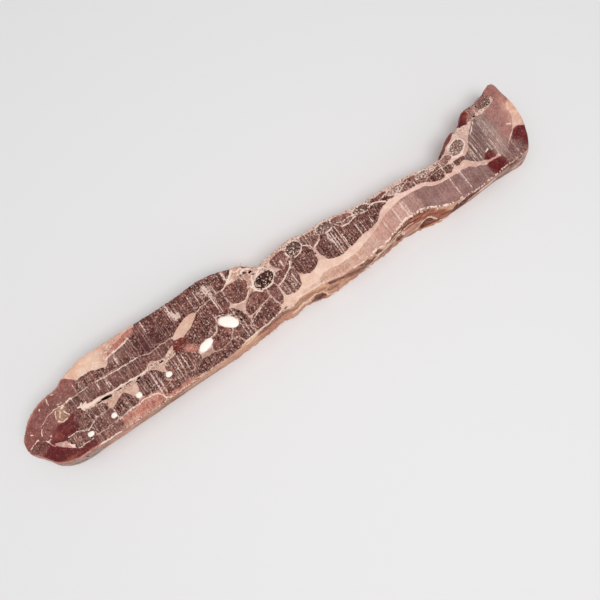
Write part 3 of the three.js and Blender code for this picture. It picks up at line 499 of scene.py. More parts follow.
# Tones of the flesh within the muscles: x, y, half sizes, sRGB, share of it at the middle, and specks.
TONES = [
    (-136, 9, 22, 9, (84, 44, 46), 0.9, 0.1), (-128, 23, 13, 4, (116, 74, 72), 0.6, 0.3),
    (-92, 20, 16, 7, (124, 82, 78), 0.6, 0.6), (-60, 19, 7, 7, (112, 74, 68), 0.5, 0.9),
    (-163, 14.4, 11, 5, (158, 124, 114), 0.85, 0.5), (-176, 5, 5, 3, (184, 138, 128), 0.8, 0.3),
        (-194, 12, 9, 4, (112, 80, 74), 0.5, 0.8),
    (-166, -3, 9, 5, (112, 82, 74), 0.6, 0.4), (-196, 1, 14, 4, (132, 98, 90), 0.6, 0.5),
    (-152, -20, 9, 7, (66, 42, 37), 0.6, 1.0), (-178, -21, 6, 6, (84, 42, 40), 0.6, 0.8),
    (-95, -8, 10, 8, (90, 54, 50), 0.5, 1.0), (-74, 3, 10, 5, (96, 58, 54), 0.6, 0.8),
    (-86, -36, 10, 3, (86, 42, 40), 0.7, 0.7), (-60, -32, 7, 4, (92, 66, 60), 0.5, 0.9),
    (-51, 1, 8, 7, (102, 58, 52), 0.6, 0.7), (-44, -13, 8, 4, (140, 96, 86), 0.6, 0.7),
    (9, -11, 9, 8, (100, 66, 62), 0.6, 0.7), (-13, -20, 6, 6, (104, 78, 72), 0.5, 0.9),
    (34, -12, 8, 9, (84, 50, 48), 0.6, 0.8), (60, -13, 8, 7, (104, 74, 68), 0.5, 0.8),
    (84, -9, 8, 5, (86, 58, 54), 0.5, 0.8), (-236, -12, 6, 4, (128, 60, 54), 0.7, 0.0),
    (-221, -10, 7, 5, (88, 30, 33), 0.7, 0.0), (-239, -2, 5, 6, (134, 84, 80), 0.85, 0.4),
    (-242, -26, 7, 6, (90, 28, 33), 0.7, 0.0), (-237, -34, 9, 2.5, (138, 74, 62), 0.8, 0.1),
    (-255, -13, 6, 4, (102, 64, 60), 0.9, 0.6), (-248, -11, 4, 5, (96, 56, 54), 0.8, 0.6),
    (-216, 16, 12, 6, (140, 92, 84), 0.6, 0.05), (-244, 6, 10, 4, (126, 74, 76), 0.5, 0.2),
    (-222, 11, 12, 3, (122, 82, 78), 0.7, 0.3), (-217, -35, 4, 3, (110, 40, 40), 0.6, 0.1),
    (-200, -35, 8, 3, (126, 88, 84), 0.7, 0.5), (234, 20, 6, 8, (162, 104, 98), 0.8, 0.05),
    (237, 7, 4, 6, (210, 150, 128), 0.6, 0.0), (222, 0, 6, 8, (164, 122, 116), 0.6, 0.05),
    (226, -13, 5, 5, (172, 122, 112), 0.6, 0.05), (212, -22, 6, 9, (178, 146, 136), 0.9, 0.1),
    (184, -14, 5, 8, (108, 94, 88), 0.8, 0.5), (197, -11, 4, 9, (124, 98, 94), 0.8, 0.2),
    (209, -6, 4, 10, (158, 134, 124), 0.7, 0.2), (173, -38, 8, 4, (122, 88, 86), 0.8, 0.1),
    (146, -34, 11, 6, (174, 134, 128), 0.7, 0.1), (182, -34, 6, 6, (142, 116, 108), 0.6, 0.1),
    (100, -22, 5, 9, (210, 174, 162), 0.5, 0.1), (116, -23, 7, 8, (168, 130, 120), 0.7, 0.1),
    (30, -33, 16, 2.6, (200, 156, 138), 0.6, 0.1), (62, -35, 10, 4, (208, 168, 156), 0.6, 0.1),
    (232, -28, 5, 7, (100, 30, 40), 0.6, 0.0), (198, -37, 6, 4, (98, 30, 34), 0.7, 0.0),
    (221, -33, 5, 4, (138, 106, 102), 0.7, 0.3), (213, -34, 5, 5, (158, 126, 118), 0.7, 0.2),
    (210, 16, 5, 3, (176, 132, 122), 0.7, 0.5), (219, 19, 7, 4, (178, 134, 126), 0.8, 0.5),
    (-221, -25, 8, 5, (122, 80, 76), 0.7, 0.45), (-199, -25, 8, 5, (112, 76, 74), 0.6, 0.45),
    (-212, -12, 5, 8, (128, 98, 92), 0.6, 0.6), (-200, -13, 6, 5, (112, 92, 86), 0.6, 0.8),
    (-216, -26, 4, 5, (130, 84, 80), 0.5, 0.4), (236, -2, 4, 9, (214, 160, 142), 0.8, 0.0),
    (233, -13, 5, 4, (206, 160, 148), 0.7, 0.0), (236, 16, 6, 7, (156, 108, 102), 0.6, 0.05),
    (199, -4, 5, 7, (118, 92, 90), 0.7, 0.1), (206, -26, 4, 4, (178, 146, 138), 0.8, 0.1),
    (-168, -34, 12, 3, (206, 130, 112), 0.5, 0.4), (-176, -37, 14, 1.6, (232, 176, 156), 0.7, 0.4),
    (-156, -33, 6, 3, (192, 118, 104), 0.5, 0.5), (-154, 23, 9, 1.6, (176, 96, 86), 0.7, 0.4),
        (-165, 21, 4, 3, (212, 150, 132), 0.6, 0.4),
    (200.6, 17.4, 3.4, 4, (140, 44, 36), 0.8, 0.0), (193, 11.6, 3, 2, (70, 28, 30), 0.8, 0.0),
    (30, -31, 18, 1.4, (214, 166, 146), 0.6, 0.05), (64, -25.6, 8, 1.6, (222, 178, 164), 0.5, 0.05),
    (80, -27, 4, 6, (204, 156, 148), 0.3, 0.15), (92, -28, 6, 5, (206, 162, 150), 0.3, 0.1),
    (-27, -18, 5, 10, (134, 96, 92), 0.85, 0.5), (-8, 5, 7, 4, (146, 102, 94), 0.6, 0.6),
    (56, 3, 8, 4, (148, 114, 107), 0.9, 0.9), (160, -7, 7, 4, (178, 142, 132), 0.85, 0.8),
    (120, -6, 9, 3, (136, 104, 98), 0.6, 0.9), (20, 6, 5, 5, (150, 116, 108), 0.6, 0.8),
    (213, -8, 4, 18, (172, 146, 138), 0.8, 0.1), (206, 10.6, 5, 3, (168, 140, 132), 0.8, 0.9),
    (220, -34, 9, 7, (132, 100, 98), 0.8, 0.15), (-160, -31, 18, 2, (222, 164, 148), 0.7, 0.4),
    (-30, -16, 3, 3, (190, 148, 138), 0.4, 0.5), (-70, -4, 6, 3, (170, 122, 114), 0.6, 0.5),
]
# Bright scratches that the saw left straight across the strip: x, then y from and to, and half width.
SCRATCHES = [
    (-72.8, -3, 22, 0.4), (-71, -8, 18, 0.35), (-64.4, -36, -5, 0.45), (-61.6, -34, -16, 0.35),
    (-67, 9, 22, 0.35), (-148.2, -38, -12, 0.5), (-144.6, -38, -15, 0.4), (-132.6, 17, 28, 0.4),
    (-108, 14, 28, 0.4), (-89, 9, 25, 0.3), (-83, 10, 24, 0.3), (39.6, -23, 1, 0.4), (42, -24, -2, 0.35),
    (44.2, -22, 0, 0.3), (47.4, -24, 1, 0.45), (49, -37, -8, 0.6), (63.4, -20, -8, 0.4), (68, -34, -8, 0.4),
    (77, -16, -9, 0.35), (84, -28, -20, 0.3), (97.6, -31, -13, 0.5), (105.4, -31, -13, 0.45),
    (108.6, -31, -14, 0.5), (154.6, -41, -9, 0.45), (163.8, -24, -8, 0.4), (166, -41, -10, 0.5),
    (189.4, -28, -5, 0.3), (185, -24, -12, 0.25), (206, -24, 6, 0.2), (211, -22, 8, 0.2),
    (-165.4, 7, 15, 0.4), (-188.4, -2, 8, 0.3), (-181, -5, 4, 0.35), (-178.8, -6, 1, 0.3),
        (-205, 8, 17, 0.35),
    (-199, -23, -19, 0.5), (-127, -28, -15, 0.3), (-123, -28, -14, 0.35), (-119, -27, -15, 0.3),
    (-7.4, -3.4, 2.6, 0.9), (-5.6, -22, -12, 0.35), (-8.4, -24, -12, 0.3), (-54.4, 14, 23, 0.8),
    (-12.2, -2, 8, 0.3),
]

# Milky skins and strings that cross the cut: half width, strength, then the points.
STRINGS = [
    (0.7, 1.0, [(-258.6, -9.6), (-255, -8), (-250, -6.2)]), (0.45, 1.5, [(-246.2, -5.6), (-243.4, -1.4)]),
    (0.6, 1.2, [(-245, -10.4), (-243.8, -13), (-242.8, -16.6)]),
        (0.8, 1.2, [(-244, -12.2), (-241.6, -11.6)]),
    (0.5, 1.3, [(-242.6, -17), (-238.4, -20.4), (-233, -25), (-228.6, -28.4)]),
    (0.4, 1.0, [(-243, 1), (-240, 2.4), (-236.4, 4.4), (-233, 5.6), (-228, 6.3)]),
    (0.5, 1.0, [(-228, 6.3), (-221, 6.4), (-213.6, 6.4), (-205, 6.8), (-196, 6.8)]),
    (1.2, 1.1, [(-172, 16.6), (-166, 18.2), (-156, 19.4), (-148, 20.8)]),
        (0.9, 1.0, [(-187, 6.6), (-178, 5.2), (-168, 4.4), (-150, 3.8)]),
    (0.9, 1.5, [(-215.6, 6.6), (-213, 7), (-211.4, 6.2)]), (0.8, 0.9, [(-222.6, 8.6), (-219.4, 8.6)]),
    (0.6, 1.0, [(-228.8, 12.4), (-228, 17.6)]), (0.5, 1.6, [(-237.2, 12.6), (-236.8, 13.8)]),
    (0.6, 1.3, [(-223.2, 18.6), (-221.8, 18)]), (0.7, 1.0, [(-253, 0.4), (-251.4, -0.6)]),
    (0.4, 1.6, [(-240.2, -9.6), (-239.6, -9)]), (0.5, 1.0, [(-218, -10.6), (-216.4, -7.4)]),
    (1.0, 1.9, [(-234, -23), (-231.4, -24.6), (-229, -26.6)]), (0.5, 0.9, [(-250.6, -20), (-249.4, -17)]),
    (0.5, 1.1, [(-229, -18.5), (-222, -18.8), (-218, -20), (-213.4, -22.8)]),
    (0.9, 0.8, [(-213.4, -22.8), (-209, -21.4), (-205, -19.8)]), (0.7, 0.9, [(-203.6, -17.8), (-194, -18)]),
    (0.6, 1.0, [(-227, -30), (-220, -30.6), (-213, -30.8)]), (0.6, 0.7, [(-200, -31.6), (-188, -31)]),
    (1.1, 1.0, [(-187, -29.6), (-176, -29), (-164, -28.4), (-155, -29.4), (-149.6, -33), (-148.4, -38)]),
    (0.9, 0.9, [(-56.4, -27), (-51, -24.2), (-45, -21.8), (-39, -20)]),
    (1.0, 1.4, [(-229.6, -37.2), (-222, -38)]), (1.0, 1.5, [(-214, -38.6), (-205, -38.8), (-192, -39)]),
    (0.8, 2.2, [(-211, -3.6), (-208.4, -4), (-207, -1.8), (-206.4, -1)]),
        (0.8, 1.9, [(-208, -4.2), (-207.6, -7.6)]),
    (0.6, 1.6, [(-206, -4), (-203.4, -2.6)]), (1.3, 2.0, [(-206, -5.4), (-200, -6.4), (-193, -7)]),
    (0.5, 1.2, [(-229.6, -1), (-228.4, 3.4), (-226.6, 5)]),
        (0.6, 1.3, [(-229, -3), (-226, -6), (-222, -5.4)]),
    (0.4, 1.3, [(-226.6, -1.4), (-223.6, 2.8)]), (0.4, 1.0, [(-225, 1.6), (-224, 4.4)]),
    (0.6, 1.3, [(-221, 1), (-220, -1.6), (-219.2, -3.2)]), (0.9, 1.4, [(-222, 4.6), (-219.6, 5)]),
    (0.8, 1.5, [(-196, -7.2), (-184, -7.8), (-172, -8.6), (-158, -9.2), (-148, -9.4)]),
    (0.6, 1.0, [(-78, -5), (-80.6, -10), (-84.6, -16), (-88.4, -17.4), (-93, -17.6)]),
    (0.6, 1.0, [(-80, -6), (-72, -8), (-65.6, -13)]), (0.8, 2.3, [(-54.2, 13.2), (-50.6, 15.6), (-46, 19)]),
    (0.6, 1.3, [(-62, 9.8), (-56, 11.8), (-49.6, 12.6)]),
        (0.9, 2.0, [(-41, 12.8), (-38, 14.2), (-35, 13.4), (-33, 11.6)]),
    (0.5, 1.7, [(-46, 17.4), (-42.6, 16), (-39, 16.8), (-36, 14.6)]), (0.4, 1.5, [(-44, 14), (-41.6, 12)]),
    (0.7, 1.8, [(-34, 5.6), (-36.2, 2.2), (-38.8, -2.4)]), (0.6, 1.4, [(-40, -0.4), (-38.6, -4.6)]),
    (0.7, 2.0, [(-38.6, -5.4), (-36.4, -8.4), (-34, -10.4)]), (0.5, 1.5, [(-43.8, 9), (-42.8, 7.2)]),
    (0.7, 1.1, [(-44, -3.6), (-46.6, -6), (-51, -8.2), (-56, -7.8), (-60, -6)]),
    (0.7, 1.6, [(-33.6, 8.6), (-31.4, 9.8)]), (0.6, 1.3, [(-30.4, 4.4), (-26, 6.8), (-22, 6)]),
    (0.8, 1.1, [(-74, -38.4), (-66, -37.4), (-58, -36.2), (-50, -35.6), (-42, -35.4), (-34, -34.2),
        (-30, -32.6)]),
    (0.7, 1.2, [(-1, -2.6), (-3.6, -6.4), (-8, -9.4), (-13, -12.4), (-20, -14.2)]),
    (0.6, 1.3, [(16, 2.2), (18.6, 0.6), (20.4, -2), (21.6, -5)]),
        (0.7, 1.2, [(23, -5), (27, -4), (30.6, -1.4)]),
    (0.5, 1.2, [(52, 2), (56, -0.2), (64.6, 0.2), (68, -2.6)]),
        (0.5, 1.2, [(100, -2.6), (106, -6.4), (111, -7.6)]),
    (0.7, 1.2, [(53, -3.6), (60, -4), (68, -3)]), (0.7, 1.2, [(86, -2.4), (91, -3.2), (97, -6.6)]),
    (0.5, 1.2, [(131, -6.6), (137, -8.8), (146, -7.6), (153, -7)]),
        (0.5, 1.0, [(154.6, -5), (156.4, -11.4)]),
    (0.5, 1.1, [(96, -3), (101, -2), (108, 0.4)]), (0.5, 1.1, [(112, -7), (118, -4), (124, -2.4)]),
    (0.7, 1.4, [(189.6, -29.8), (197, -30.8), (203.6, -30.6)]),
        (0.5, 1.0, [(217, -27), (222, -23), (228, -19)]),
    (0.6, 1.5, [(227, -12.2), (230, -13.6)]), (0.8, 1.8, [(196, -21.4), (198.4, -20.6)]),
    (0.6, 1.2, [(200.6, -23), (202.4, -22.4)]), (0.6, 1.0, [(195, -0.6), (199, 3), (204, 7)]),
    (0.8, 1.5, [(-13, -31.4), (-9.6, -32.4)]), (0.5, 1.0, [(-8, -33), (2, -33), (13, -34)]),
    (0.6, 1.3, [(168, -8.8), (172, -10.5), (178, -10.4)]),
        (0.7, 1.0, [(168.6, -1.6), (173, 1.4), (179, 3)]),
]

# Frost that the saw smeared over the cut, in streaks across the strip: x, y, half sizes and strength.
SMEARS = [
    (-148, -20, 1.6, 11, 0.9), (-144, -20, 1, 11, 0.9), (-132, 22, 0.9, 6, 0.8), (-149, 15, 1.3, 3, 0.9),
    (-72.6, 12, 2.2, 12, 1.1), (-75, 18, 7, 5, 1), (-63, -12, 2, 22, 0.8), (-54, 19, 2.2, 5, 1.2),
    (-108.6, 21, 2.2, 8, 1.2), (-105, 14, 4, 4.4, 1.9), (42, -9, 6.5, 14, 0.6), (38, -6, 2, 5, 0.9),
    (65, -12, 3.6, 8, 0.8), (77, -12, 1.2, 7, 0.6), (98, -22, 1.6, 9, 0.9), (106.4, -22, 3.4, 10, 1.1),
    (155, -24, 1.8, 18, 0.55), (165, -24, 2, 18, 0.65), (-165, 12, 2.4, 6, 0.8), (-196, 11, 1.3, 5, 0.7),
    (-180.6, -1, 1.6, 4, 0.8), (-188, 3, 0.9, 4, 0.8), (200, -6, 14, 20, 0.35), (-6, -16, 2.6, 9, 0.8),
    (-121, -21, 9, 8, 0.6), (-200, -13, 5, 4, 0.6), (-7.4, 0, 0.8, 3, 2), (-170, 13, 1.6, 2, 1.1),
    (-85, 18, 10, 8, 0.45), (83, -24, 4, 4, 0.6), (185, -14, 3, 6, 0.8), (-206, -12, 1.4, 5, 0.8),
]

# ---- Numbers that vary smoothly ----


def smooth_step(low, high, value):
    """From 0 at low to 1 at high, along three u squared less two u cubed."""
    u = np.clip((value - low) / (high - low), 0, 1)
    return u * u * (3 - 2 * u)


def lattice_noise(u, v, seed):
    """Value noise from -1 to 1: random heights on a grid of whole numbers, joined by smooth steps."""
    heights = np.random.default_rng(seed).uniform(-1, 1, (256, 256))
    iu, iv = np.floor(u).astype(int), np.floor(v).astype(int)
    su, sv = smooth_step(0, 1, u - iu), smooth_step(0, 1, v - iv)
    left, right = iu % 256, (iu + 1) % 256
    low, high = iv % 256, (iv + 1) % 256
    lower = heights[left, low] * (1 - su) + heights[right, low] * su
    upper = heights[left, high] * (1 - su) + heights[right, high] * su
    return lower * (1 - sv) + upper * sv


def closed_curve(knots, steps):
    """A centripetal Catmull-Rom curve round through the knots: between two of them the Hermite cubic whose end
    slopes come from the neighbours, each weighted by the square root of the distance between knots."""
    start = np.asarray(knots, float)
    before, end, after = (np.roll(start, shift, axis=0) for shift in (1, -1, -2))
    gap_in, gap, gap_out = (np.linalg.norm(b - a, axis=1)[:, None] ** 0.5 + 1e-4
                            for a, b in ((before, start), (start, end), (end, after)))
    slope_in = ((start - before) / gap_in - (end - before) / (gap_in + gap) + (end - start) / gap) * gap
    slope_out = ((end - start) / gap - (after - start) / (gap + gap_out) + (after - end) / gap_out) * gap
    u = (np.arange(steps) / steps)[None, :, None]
    points = ((2 * u**3 - 3 * u**2 + 1) * start[:, None] + (u**3 - 2 * u**2 + u) * slope_in[:, None]
              + (3 * u**2 - 2 * u**3) * end[:, None] + (u**3 - u**2) * slope_out[:, None])
    return points.reshape(-1, start.shape[1])


def linear(colour):
    """An sRGB colour of 0 to 255 as linear light."""
    c = np.asarray(colour, float) / 255
    return np.where(c <= 0.04045, c / 12.92, ((c + 0.055) / 1.055) ** 2.4)


def depth_inside(x, y, outline):
    """Distance from points to a closed outline, positive inside: the least distance to any of its straight
    pieces, with the sign from how many pieces a ray along +x crosses."""
    a = outline
    b = np.roll(outline, -1, axis=0)
    ab = b - a
    px, py = x[:, None] - a[:, 0], y[:, None] - a[:, 1]
    along = np.clip((px * ab[:, 0] + py * ab[:, 1]) / (ab**2).sum(1), 0, 1)
    gap = np.hypot(px - along * ab[:, 0], py - along * ab[:, 1]).min(1)
    spans = (a[:, 1] > y[:, None]) != (b[:, 1] > y[:, None])
    crossed = spans & (px < py * ab[:, 0] / np.where(ab[:, 1] == 0, 1, ab[:, 1]))
    return np.where(crossed.sum(1) % 2 == 1, gap, -gap)


def path_distance(x, y, points):
    """Distance from points to an open path of straight pieces."""
    a = np.asarray(points[:-1], float)
    ab = np.asarray(points[1:], float) - a
    px, py = x[:, None] - a[:, 0], y[:, None] - a[:, 1]
    along = np.clip((px * ab[:, 0] + py * ab[:, 1]) / (ab**2).sum(1), 0, 1)
    return np.hypot(px - along * ab[:, 0], py - along * ab[:, 1]).min(1)


def turned_oval(x, y, centre, half_sizes, turn):
    """Elliptic radius of points about a centre: 1 on the ellipse of these half sizes, turned by degrees."""
    angle = np.radians(turn)
    dx, dy = x - centre[0], y - centre[1]
    along = (dx * np.cos(angle) + dy * np.sin(angle)) / half_sizes[0]
    across = (dy * np.cos(angle) - dx * np.sin(angle)) / half_sizes[1]
    return np.hypot(along, across)


# ---- The pattern of muscle and fat ----

REACH = 7  # how far outside a muscle its depth is worked out
RINGLESS_FROM = 200  # the last bone has neither a ring of fat nor a pale rim
BLEND = 0.7  # how softly two muscles that touch pass into each other
MEETING = 2.6  # how far a muscle reaches out to touch the next one


def muscles_at(x, y, patches):
    """The muscles at points: depth in the nearest one, distance to the seam halfway to the next one, colour
    and traits. Where muscles meet, each counts by the exponential of its depth, so the deepest has the say."""
    best, second = np.full(x.shape, -float(REACH)), np.full(x.shape, -float(REACH))
    clear, clear_next = np.zeros(x.shape), np.zeros(x.shape)
    weight = np.full(x.shape, 1e-6)
    colour = np.tile(linear(KINDS["mauve"][0]) * 1e-6, (x.size, 1))
    traits = np.tile(np.array(KINDS["mauve"][1][:3]) * 1e-6, (x.size, 1))
    for kind, outlines in patches.items():
        tint, (*kind_traits, seam) = KINDS[kind]
        for knots in outlines:
            outline = closed_curve(knots, 5)
            low, high = outline.min(0) - REACH, outline.max(0) + REACH
            near = np.flatnonzero((x > low[0]) & (x < high[0]) & (y > low[1]) & (y < high[1]))
            inside = depth_inside(x[near], y[near], outline)
            wins, comes_next = inside > best[near], inside > second[near]
            clear_next[near] = np.where(wins, clear[near], np.where(comes_next, seam, clear_next[near]))
            second[near] = np.where(wins, best[near], np.maximum(second[near], inside))
            clear[near] = np.where(wins, seam, clear[near])
            best[near] = np.maximum(best[near], inside)
            share = np.exp(np.clip(inside, -REACH, 3) / BLEND)
            weight[near] += share
            colour[near] += share[:, None] * linear(tint)
            traits[near] += share[:, None] * np.array(kind_traits)
    seam_clear = np.minimum(clear, clear_next)
    seam_gap = (best - second) / 2 + 3 * (1 - seam_clear) + np.clip(-3 - second, 0, None)
    return best, seam_gap, colour / weight[:, None], traits / weight[:, None]


def fat_depth(x, y):
    """How deep in fat: inside an open patch by its outline, and elsewhere nothing until past the distance at
    which two muscles still meet along a seam."""
    depth = np.full(x.shape, -MEETING)
    for knots in FAT_PATCHES:
        outline = closed_curve(knots, 4)
        low, high = outline.min(0) - 3, outline.max(0) + 3
        near = np.flatnonzero((x > low[0]) & (x < high[0]) & (y > low[1]) & (y < high[1]))
        depth[near] = np.maximum(depth[near], depth_inside(x[near], y[near], outline))
    return depth


def ring_gap(x, y):
    """Distance beyond the ring of fat round each bone, which is negative within the ring."""
    gap = np.full(x.shape, float(REACH))
    for node, cx, cy, long, short, turn, pale in RIB_ENDS:
        ring = 0.9 - 0.7 * max(pale, 0.9 * (cx > 170), 2 * (cx > RINGLESS_FROM)) if "bone" in node else 0.1
        radius = np.maximum(turned_oval(x, y, (cx, cy), (long, short), turn), 0.01)
        gap = np.minimum(gap, (1 - 1 / radius) * np.hypot(x - cx, y - cy) - ring)
    return gap


def fat_at(x, y):
    """Colour of the fat, the plain tint with each patch's own by a bell curve about its middle, and how
    crumbled it is."""
    weight = np.full(x.shape, 0.3)
    colour = np.tile(linear(PLAIN_FAT) * 0.3, (x.size, 1))
    for cx, cy, half_x, half_y, tint in FAT_TINTS:
        share = np.exp(-(((x - cx) / half_x) ** 2 + ((y - cy) / half_y) ** 2))
        weight += share
        colour += share[:, None] * linear(tint)
    crumbled = np.zeros(x.shape)
    for cx, cy, half_x, half_y in CRUMBLED:
        crumbled = np.maximum(crumbled, np.exp(-(((x - cx) / half_x) ** 2 + ((y - cy) / half_y) ** 2)))
    return colour / weight[:, None], crumbled


def marks_at(x, y, wx, wy):
    """Three marks of the cut: how deep in a crack from 0 to 1, frost in straight streaks, and the milky skins,
    which like the cracks follow the warped place."""
    crack = np.zeros(x.shape)
    for cx, cy, long, short, _, turn in CRACKS:
        radius = turned_oval(wx, wy, (cx, cy), (long, short), turn)
        crack = np.maximum(crack, 1 - smooth_step(0.55, 1.15, radius))
    milky = np.zeros(x.shape)
    for half_width, strength, points in STRINGS:
        reach = 3 * half_width
        low, high = np.min(points, axis=0) - reach, np.max(points, axis=0) + reach
        near = np.flatnonzero((wx > low[0]) & (wx < high[0]) & (wy > low[1]) & (wy < high[1]))
        gap = path_distance(wx[near], wy[near], points)
        milky[near] = np.maximum(milky[near], strength * np.exp(-((gap / half_width) ** 2)))
    frost = np.zeros(x.shape)
    for cx, cy, half_x, half_y, strength in SMEARS:
        reach = ((x - cx) / half_x) ** 2 + np.abs((y - cy) / half_y) ** 3
        frost += 0.7 * strength * np.exp(-reach)
    for cx, low, high, half_width in SCRATCHES:
        across = np.exp(-(((x - cx) / half_width) ** 2))
        frost += 1.2 * across * smooth_step(low - 1, low + 2, y) * smooth_step(high + 1, high - 2, y)
    return np.stack([crack, frost, milky], axis=1)


def toned(x, y, colour, traits):
    """The flesh's colour and traits drawn towards each tone by a bell curve about its middle."""
    for cx, cy, half_x, half_y, tone, most, specks in TONES:
        share = most * np.exp(-(((x - cx) / half_x) ** 2 + ((y - cy) / half_y) ** 2))
        colour += share[:, None] * (linear(tone) - colour)
        traits[:, 0] += share * (specks - traits[:, 0])
    return colour, traits


def warped(x, y):
    """Points moved by up to half a millimetre, so that no edge of a muscle is drawn too smoothly."""
    return (x + 0.55 * lattice_noise(x / 4, y / 4, 1) + 0.3 * lattice_noise(x / 1.7, y / 1.7, 2),
            y + 0.55 * lattice_noise(x / 4, y / 4, 3) + 0.3 * lattice_noise(x / 1.7, y / 1.7, 4))


def cut_pattern(x, y):
    """All the layers of a sawn face at points of it."""
    wx, wy = warped(x, y)
    depth, seam_gap, colour, traits = muscles_at(wx, wy, MUSCLES)
    cell = np.minimum(depth - fat_depth(wx, wy), ring_gap(wx, wy))
    fat, crumbled = fat_at(x, y)
    ring = smooth_step(0.9, 0.1, ring_gap(wx, wy))[:, None]
    fat = fat * (1 - ring) + linear(RING_FAT) * ring
    colour, traits = toned(wx, wy, colour, traits)
    return {"bounds": np.stack([cell, seam_gap, crumbled], axis=1), "tint": colour, "fat": fat,
            "traits": traits, "marks": marks_at(x, y, wx, wy)}


# ---- The outline as stations along the strip ----


def edges():
    """The far and the near edge of the upper cut from tail to head, as rising x with y and lean."""
    loop = closed_curve(OUTLINE, 24)
    loop = np.roll(loop, -int(loop[:, 0].argmin()), axis=0)
    head = int(loop[:, 0].argmax())
    far, near = loop[: head + 1], np.vstack([loop[head:], loop[:1]])[::-1]
    return [(np.maximum.accumulate(side[:, 0]) + np.arange(len(side)) * 1e-9, side[:, 1], side[:, 2])
            for side in (far, near)]


FAR_EDGE, NEAR_EDGE = edges()


def stations(count):
    """x, far y, near y and both leans at stations spaced evenly along the steeper edge of the cut."""
    x = np.linspace(FAR_EDGE[0][0], FAR_EDGE[0][-1], 30000)
    climb = np.maximum(*(np.abs(np.diff(np.interp(x, edge[0], edge[1]))) for edge in (FAR_EDGE, NEAR_EDGE)))
    run = np.concatenate([[0], np.cumsum(np.hypot(np.diff(x), climb))])
    x = np.interp(np.linspace(0, run[-1], count), run, x)
    far_y, far_lean = (np.interp(x, FAR_EDGE[0], FAR_EDGE[k]) for k in (1, 2))
    near_y, near_lean = (np.interp(x, NEAR_EDGE[0], NEAR_EDGE[k]) for k in (1, 2))
    near_y[[0, -1]], near_lean[[0, -1]] = far_y[[0, -1]], far_lean[[0, -1]]
    return x, far_y, near_y, far_lean, near_lean


def outward(x, far_y, near_y):
    """Directions out of the outline at each station on both sides: its heading, taken between the two
    neighbours round the closed loop, turned a quarter."""
    loop = np.concatenate([np.stack([x, far_y], 1), np.stack([x, near_y], 1)[-2:0:-1]])
    heading = np.roll(loop, -1, axis=0) - np.roll(loop, 1, axis=0)
    out = np.stack([-heading[:, 1], heading[:, 0]], 1) / np.linalg.norm(heading, axis=1)[:, None]
    far = out[: len(x)]
    return far, np.concatenate([out[:1], out[len(x):][::-1], far[-1:]])


def foot_box():
    """Lowest and highest x and y of the wall, which is where the meat's own box lies."""
    x, far_y, near_y, far_lean, near_lean = stations(2000)
    far_out, near_out = outward(x, far_y, near_y)
    rows = []
    for y, lean, out in ((far_y, far_lean, far_out), (near_y, near_lean, near_out)):
        rows += [np.stack([x, y], 1) + out * stand(lean, share)[:, None] for share in np.linspace(0, 1, 21)]
    points = np.concatenate(rows)
    return points.min(0), points.max(0)


def stand(lean, share):
    """How far the wall stands out at a share of the height: the lean falls evenly to nothing at the upper
    edge, and the wall swells between by half a sine wave."""
    return lean * (1 - share) + WALL_BULGE * np.sin(np.pi * share)


low_corner, high_corner = foot_box()
SHIFT = np.array([0.0, 0.0, 0.0])
SHIFT[:2] = np.array([sum(c) / 2 / MM for c in zip(*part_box("meat"))][:2]) - (low_corner + high_corner) / 2

# ---- Meshes ----


def ring_quads(rows, columns):
    """Faces of a grid of points whose last column joins its first."""
    i, j = np.meshgrid(np.arange(rows - 1), np.arange(columns), indexing="ij")
    k = (j + 1) % columns
    return np.stack([i * columns + j, i * columns + k, (i + 1) * columns + k, (i + 1) * columns + j],
                    -1).reshape(-1, 4)


def add_layers(mesh, layers):
    """Puts arrays onto the points: single numbers, triples and colours."""
    for name, values in layers.items():
        values = np.asarray(values, np.float32)
        if values.ndim == 1:
            mesh.attributes.new(name, "FLOAT", "POINT").data.foreach_set("value", values)
        elif name in ("tint", "fat"):
            rgba = np.concatenate([values, np.ones((len(values), 1), np.float32)], axis=1)
            mesh.attributes.new(name, "FLOAT_COLOR", "POINT").data.foreach_set("color", rgba.ravel())
        else:
            mesh.attributes.new(name, "FLOAT_VECTOR", "POINT").data.foreach_set("vector", values.ravel())


def shown(name, points, faces, layers, finishes, replaces=(), face_finish=None, crease=40):
    """A piece of the strip from points in millimetres: coincident points are merged, the faces turned
    outwards, and edges sharper than the crease, in degrees, are kept sharp."""
    mesh = bpy.data.meshes.new(name)
    placed = (points + SHIFT) * MM
    mesh.from_pydata(placed.tolist(), [], faces.tolist())
    add_layers(mesh, layers)
    for finish in finishes:
        mesh.materials.append(finish)
    if face_finish is not None:
        mesh.polygons.foreach_set("material_index", face_finish.astype(np.int32))
    shell = bmesh.new()
    shell.from_mesh(mesh)
    bmesh.ops.remove_doubles(shell, verts=shell.verts, dist=1e-7)
    bmesh.ops.recalc_face_normals(shell, faces=shell.faces)
    shell.to_mesh(mesh)
    shell.free()
    mesh.shade_smooth()
    mesh.set_sharp_from_angle(angle=np.radians(crease))
    piece = bpy.data.objects.new(name, mesh)
    bpy.context.scene.collection.objects.link(piece)
    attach(piece, "root")
    if replaces:
        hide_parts(*replaces)
    return piece


# ---- Finishes ----


class Maths:
    """A node's output in arithmetic: each sum, difference or product of it adds one Math node."""

    def __init__(self, finish, socket):
        self.finish = finish
        self.socket = socket

    def _made(self, operation, first, second):
        return self.finish.node("ShaderNodeMath", {"operation": operation}, {0: first, 1: second})

    def __add__(self, other):
        return self._made("ADD", self, other)

    def __sub__(self, other):
        return self._made("SUBTRACT", self, other)

    def __rsub__(self, other):
        return self._made("SUBTRACT", other, self)

    def __mul__(self, other):
        return self._made("MULTIPLY", self, other)

    __radd__ = __add__
    __rmul__ = __mul__


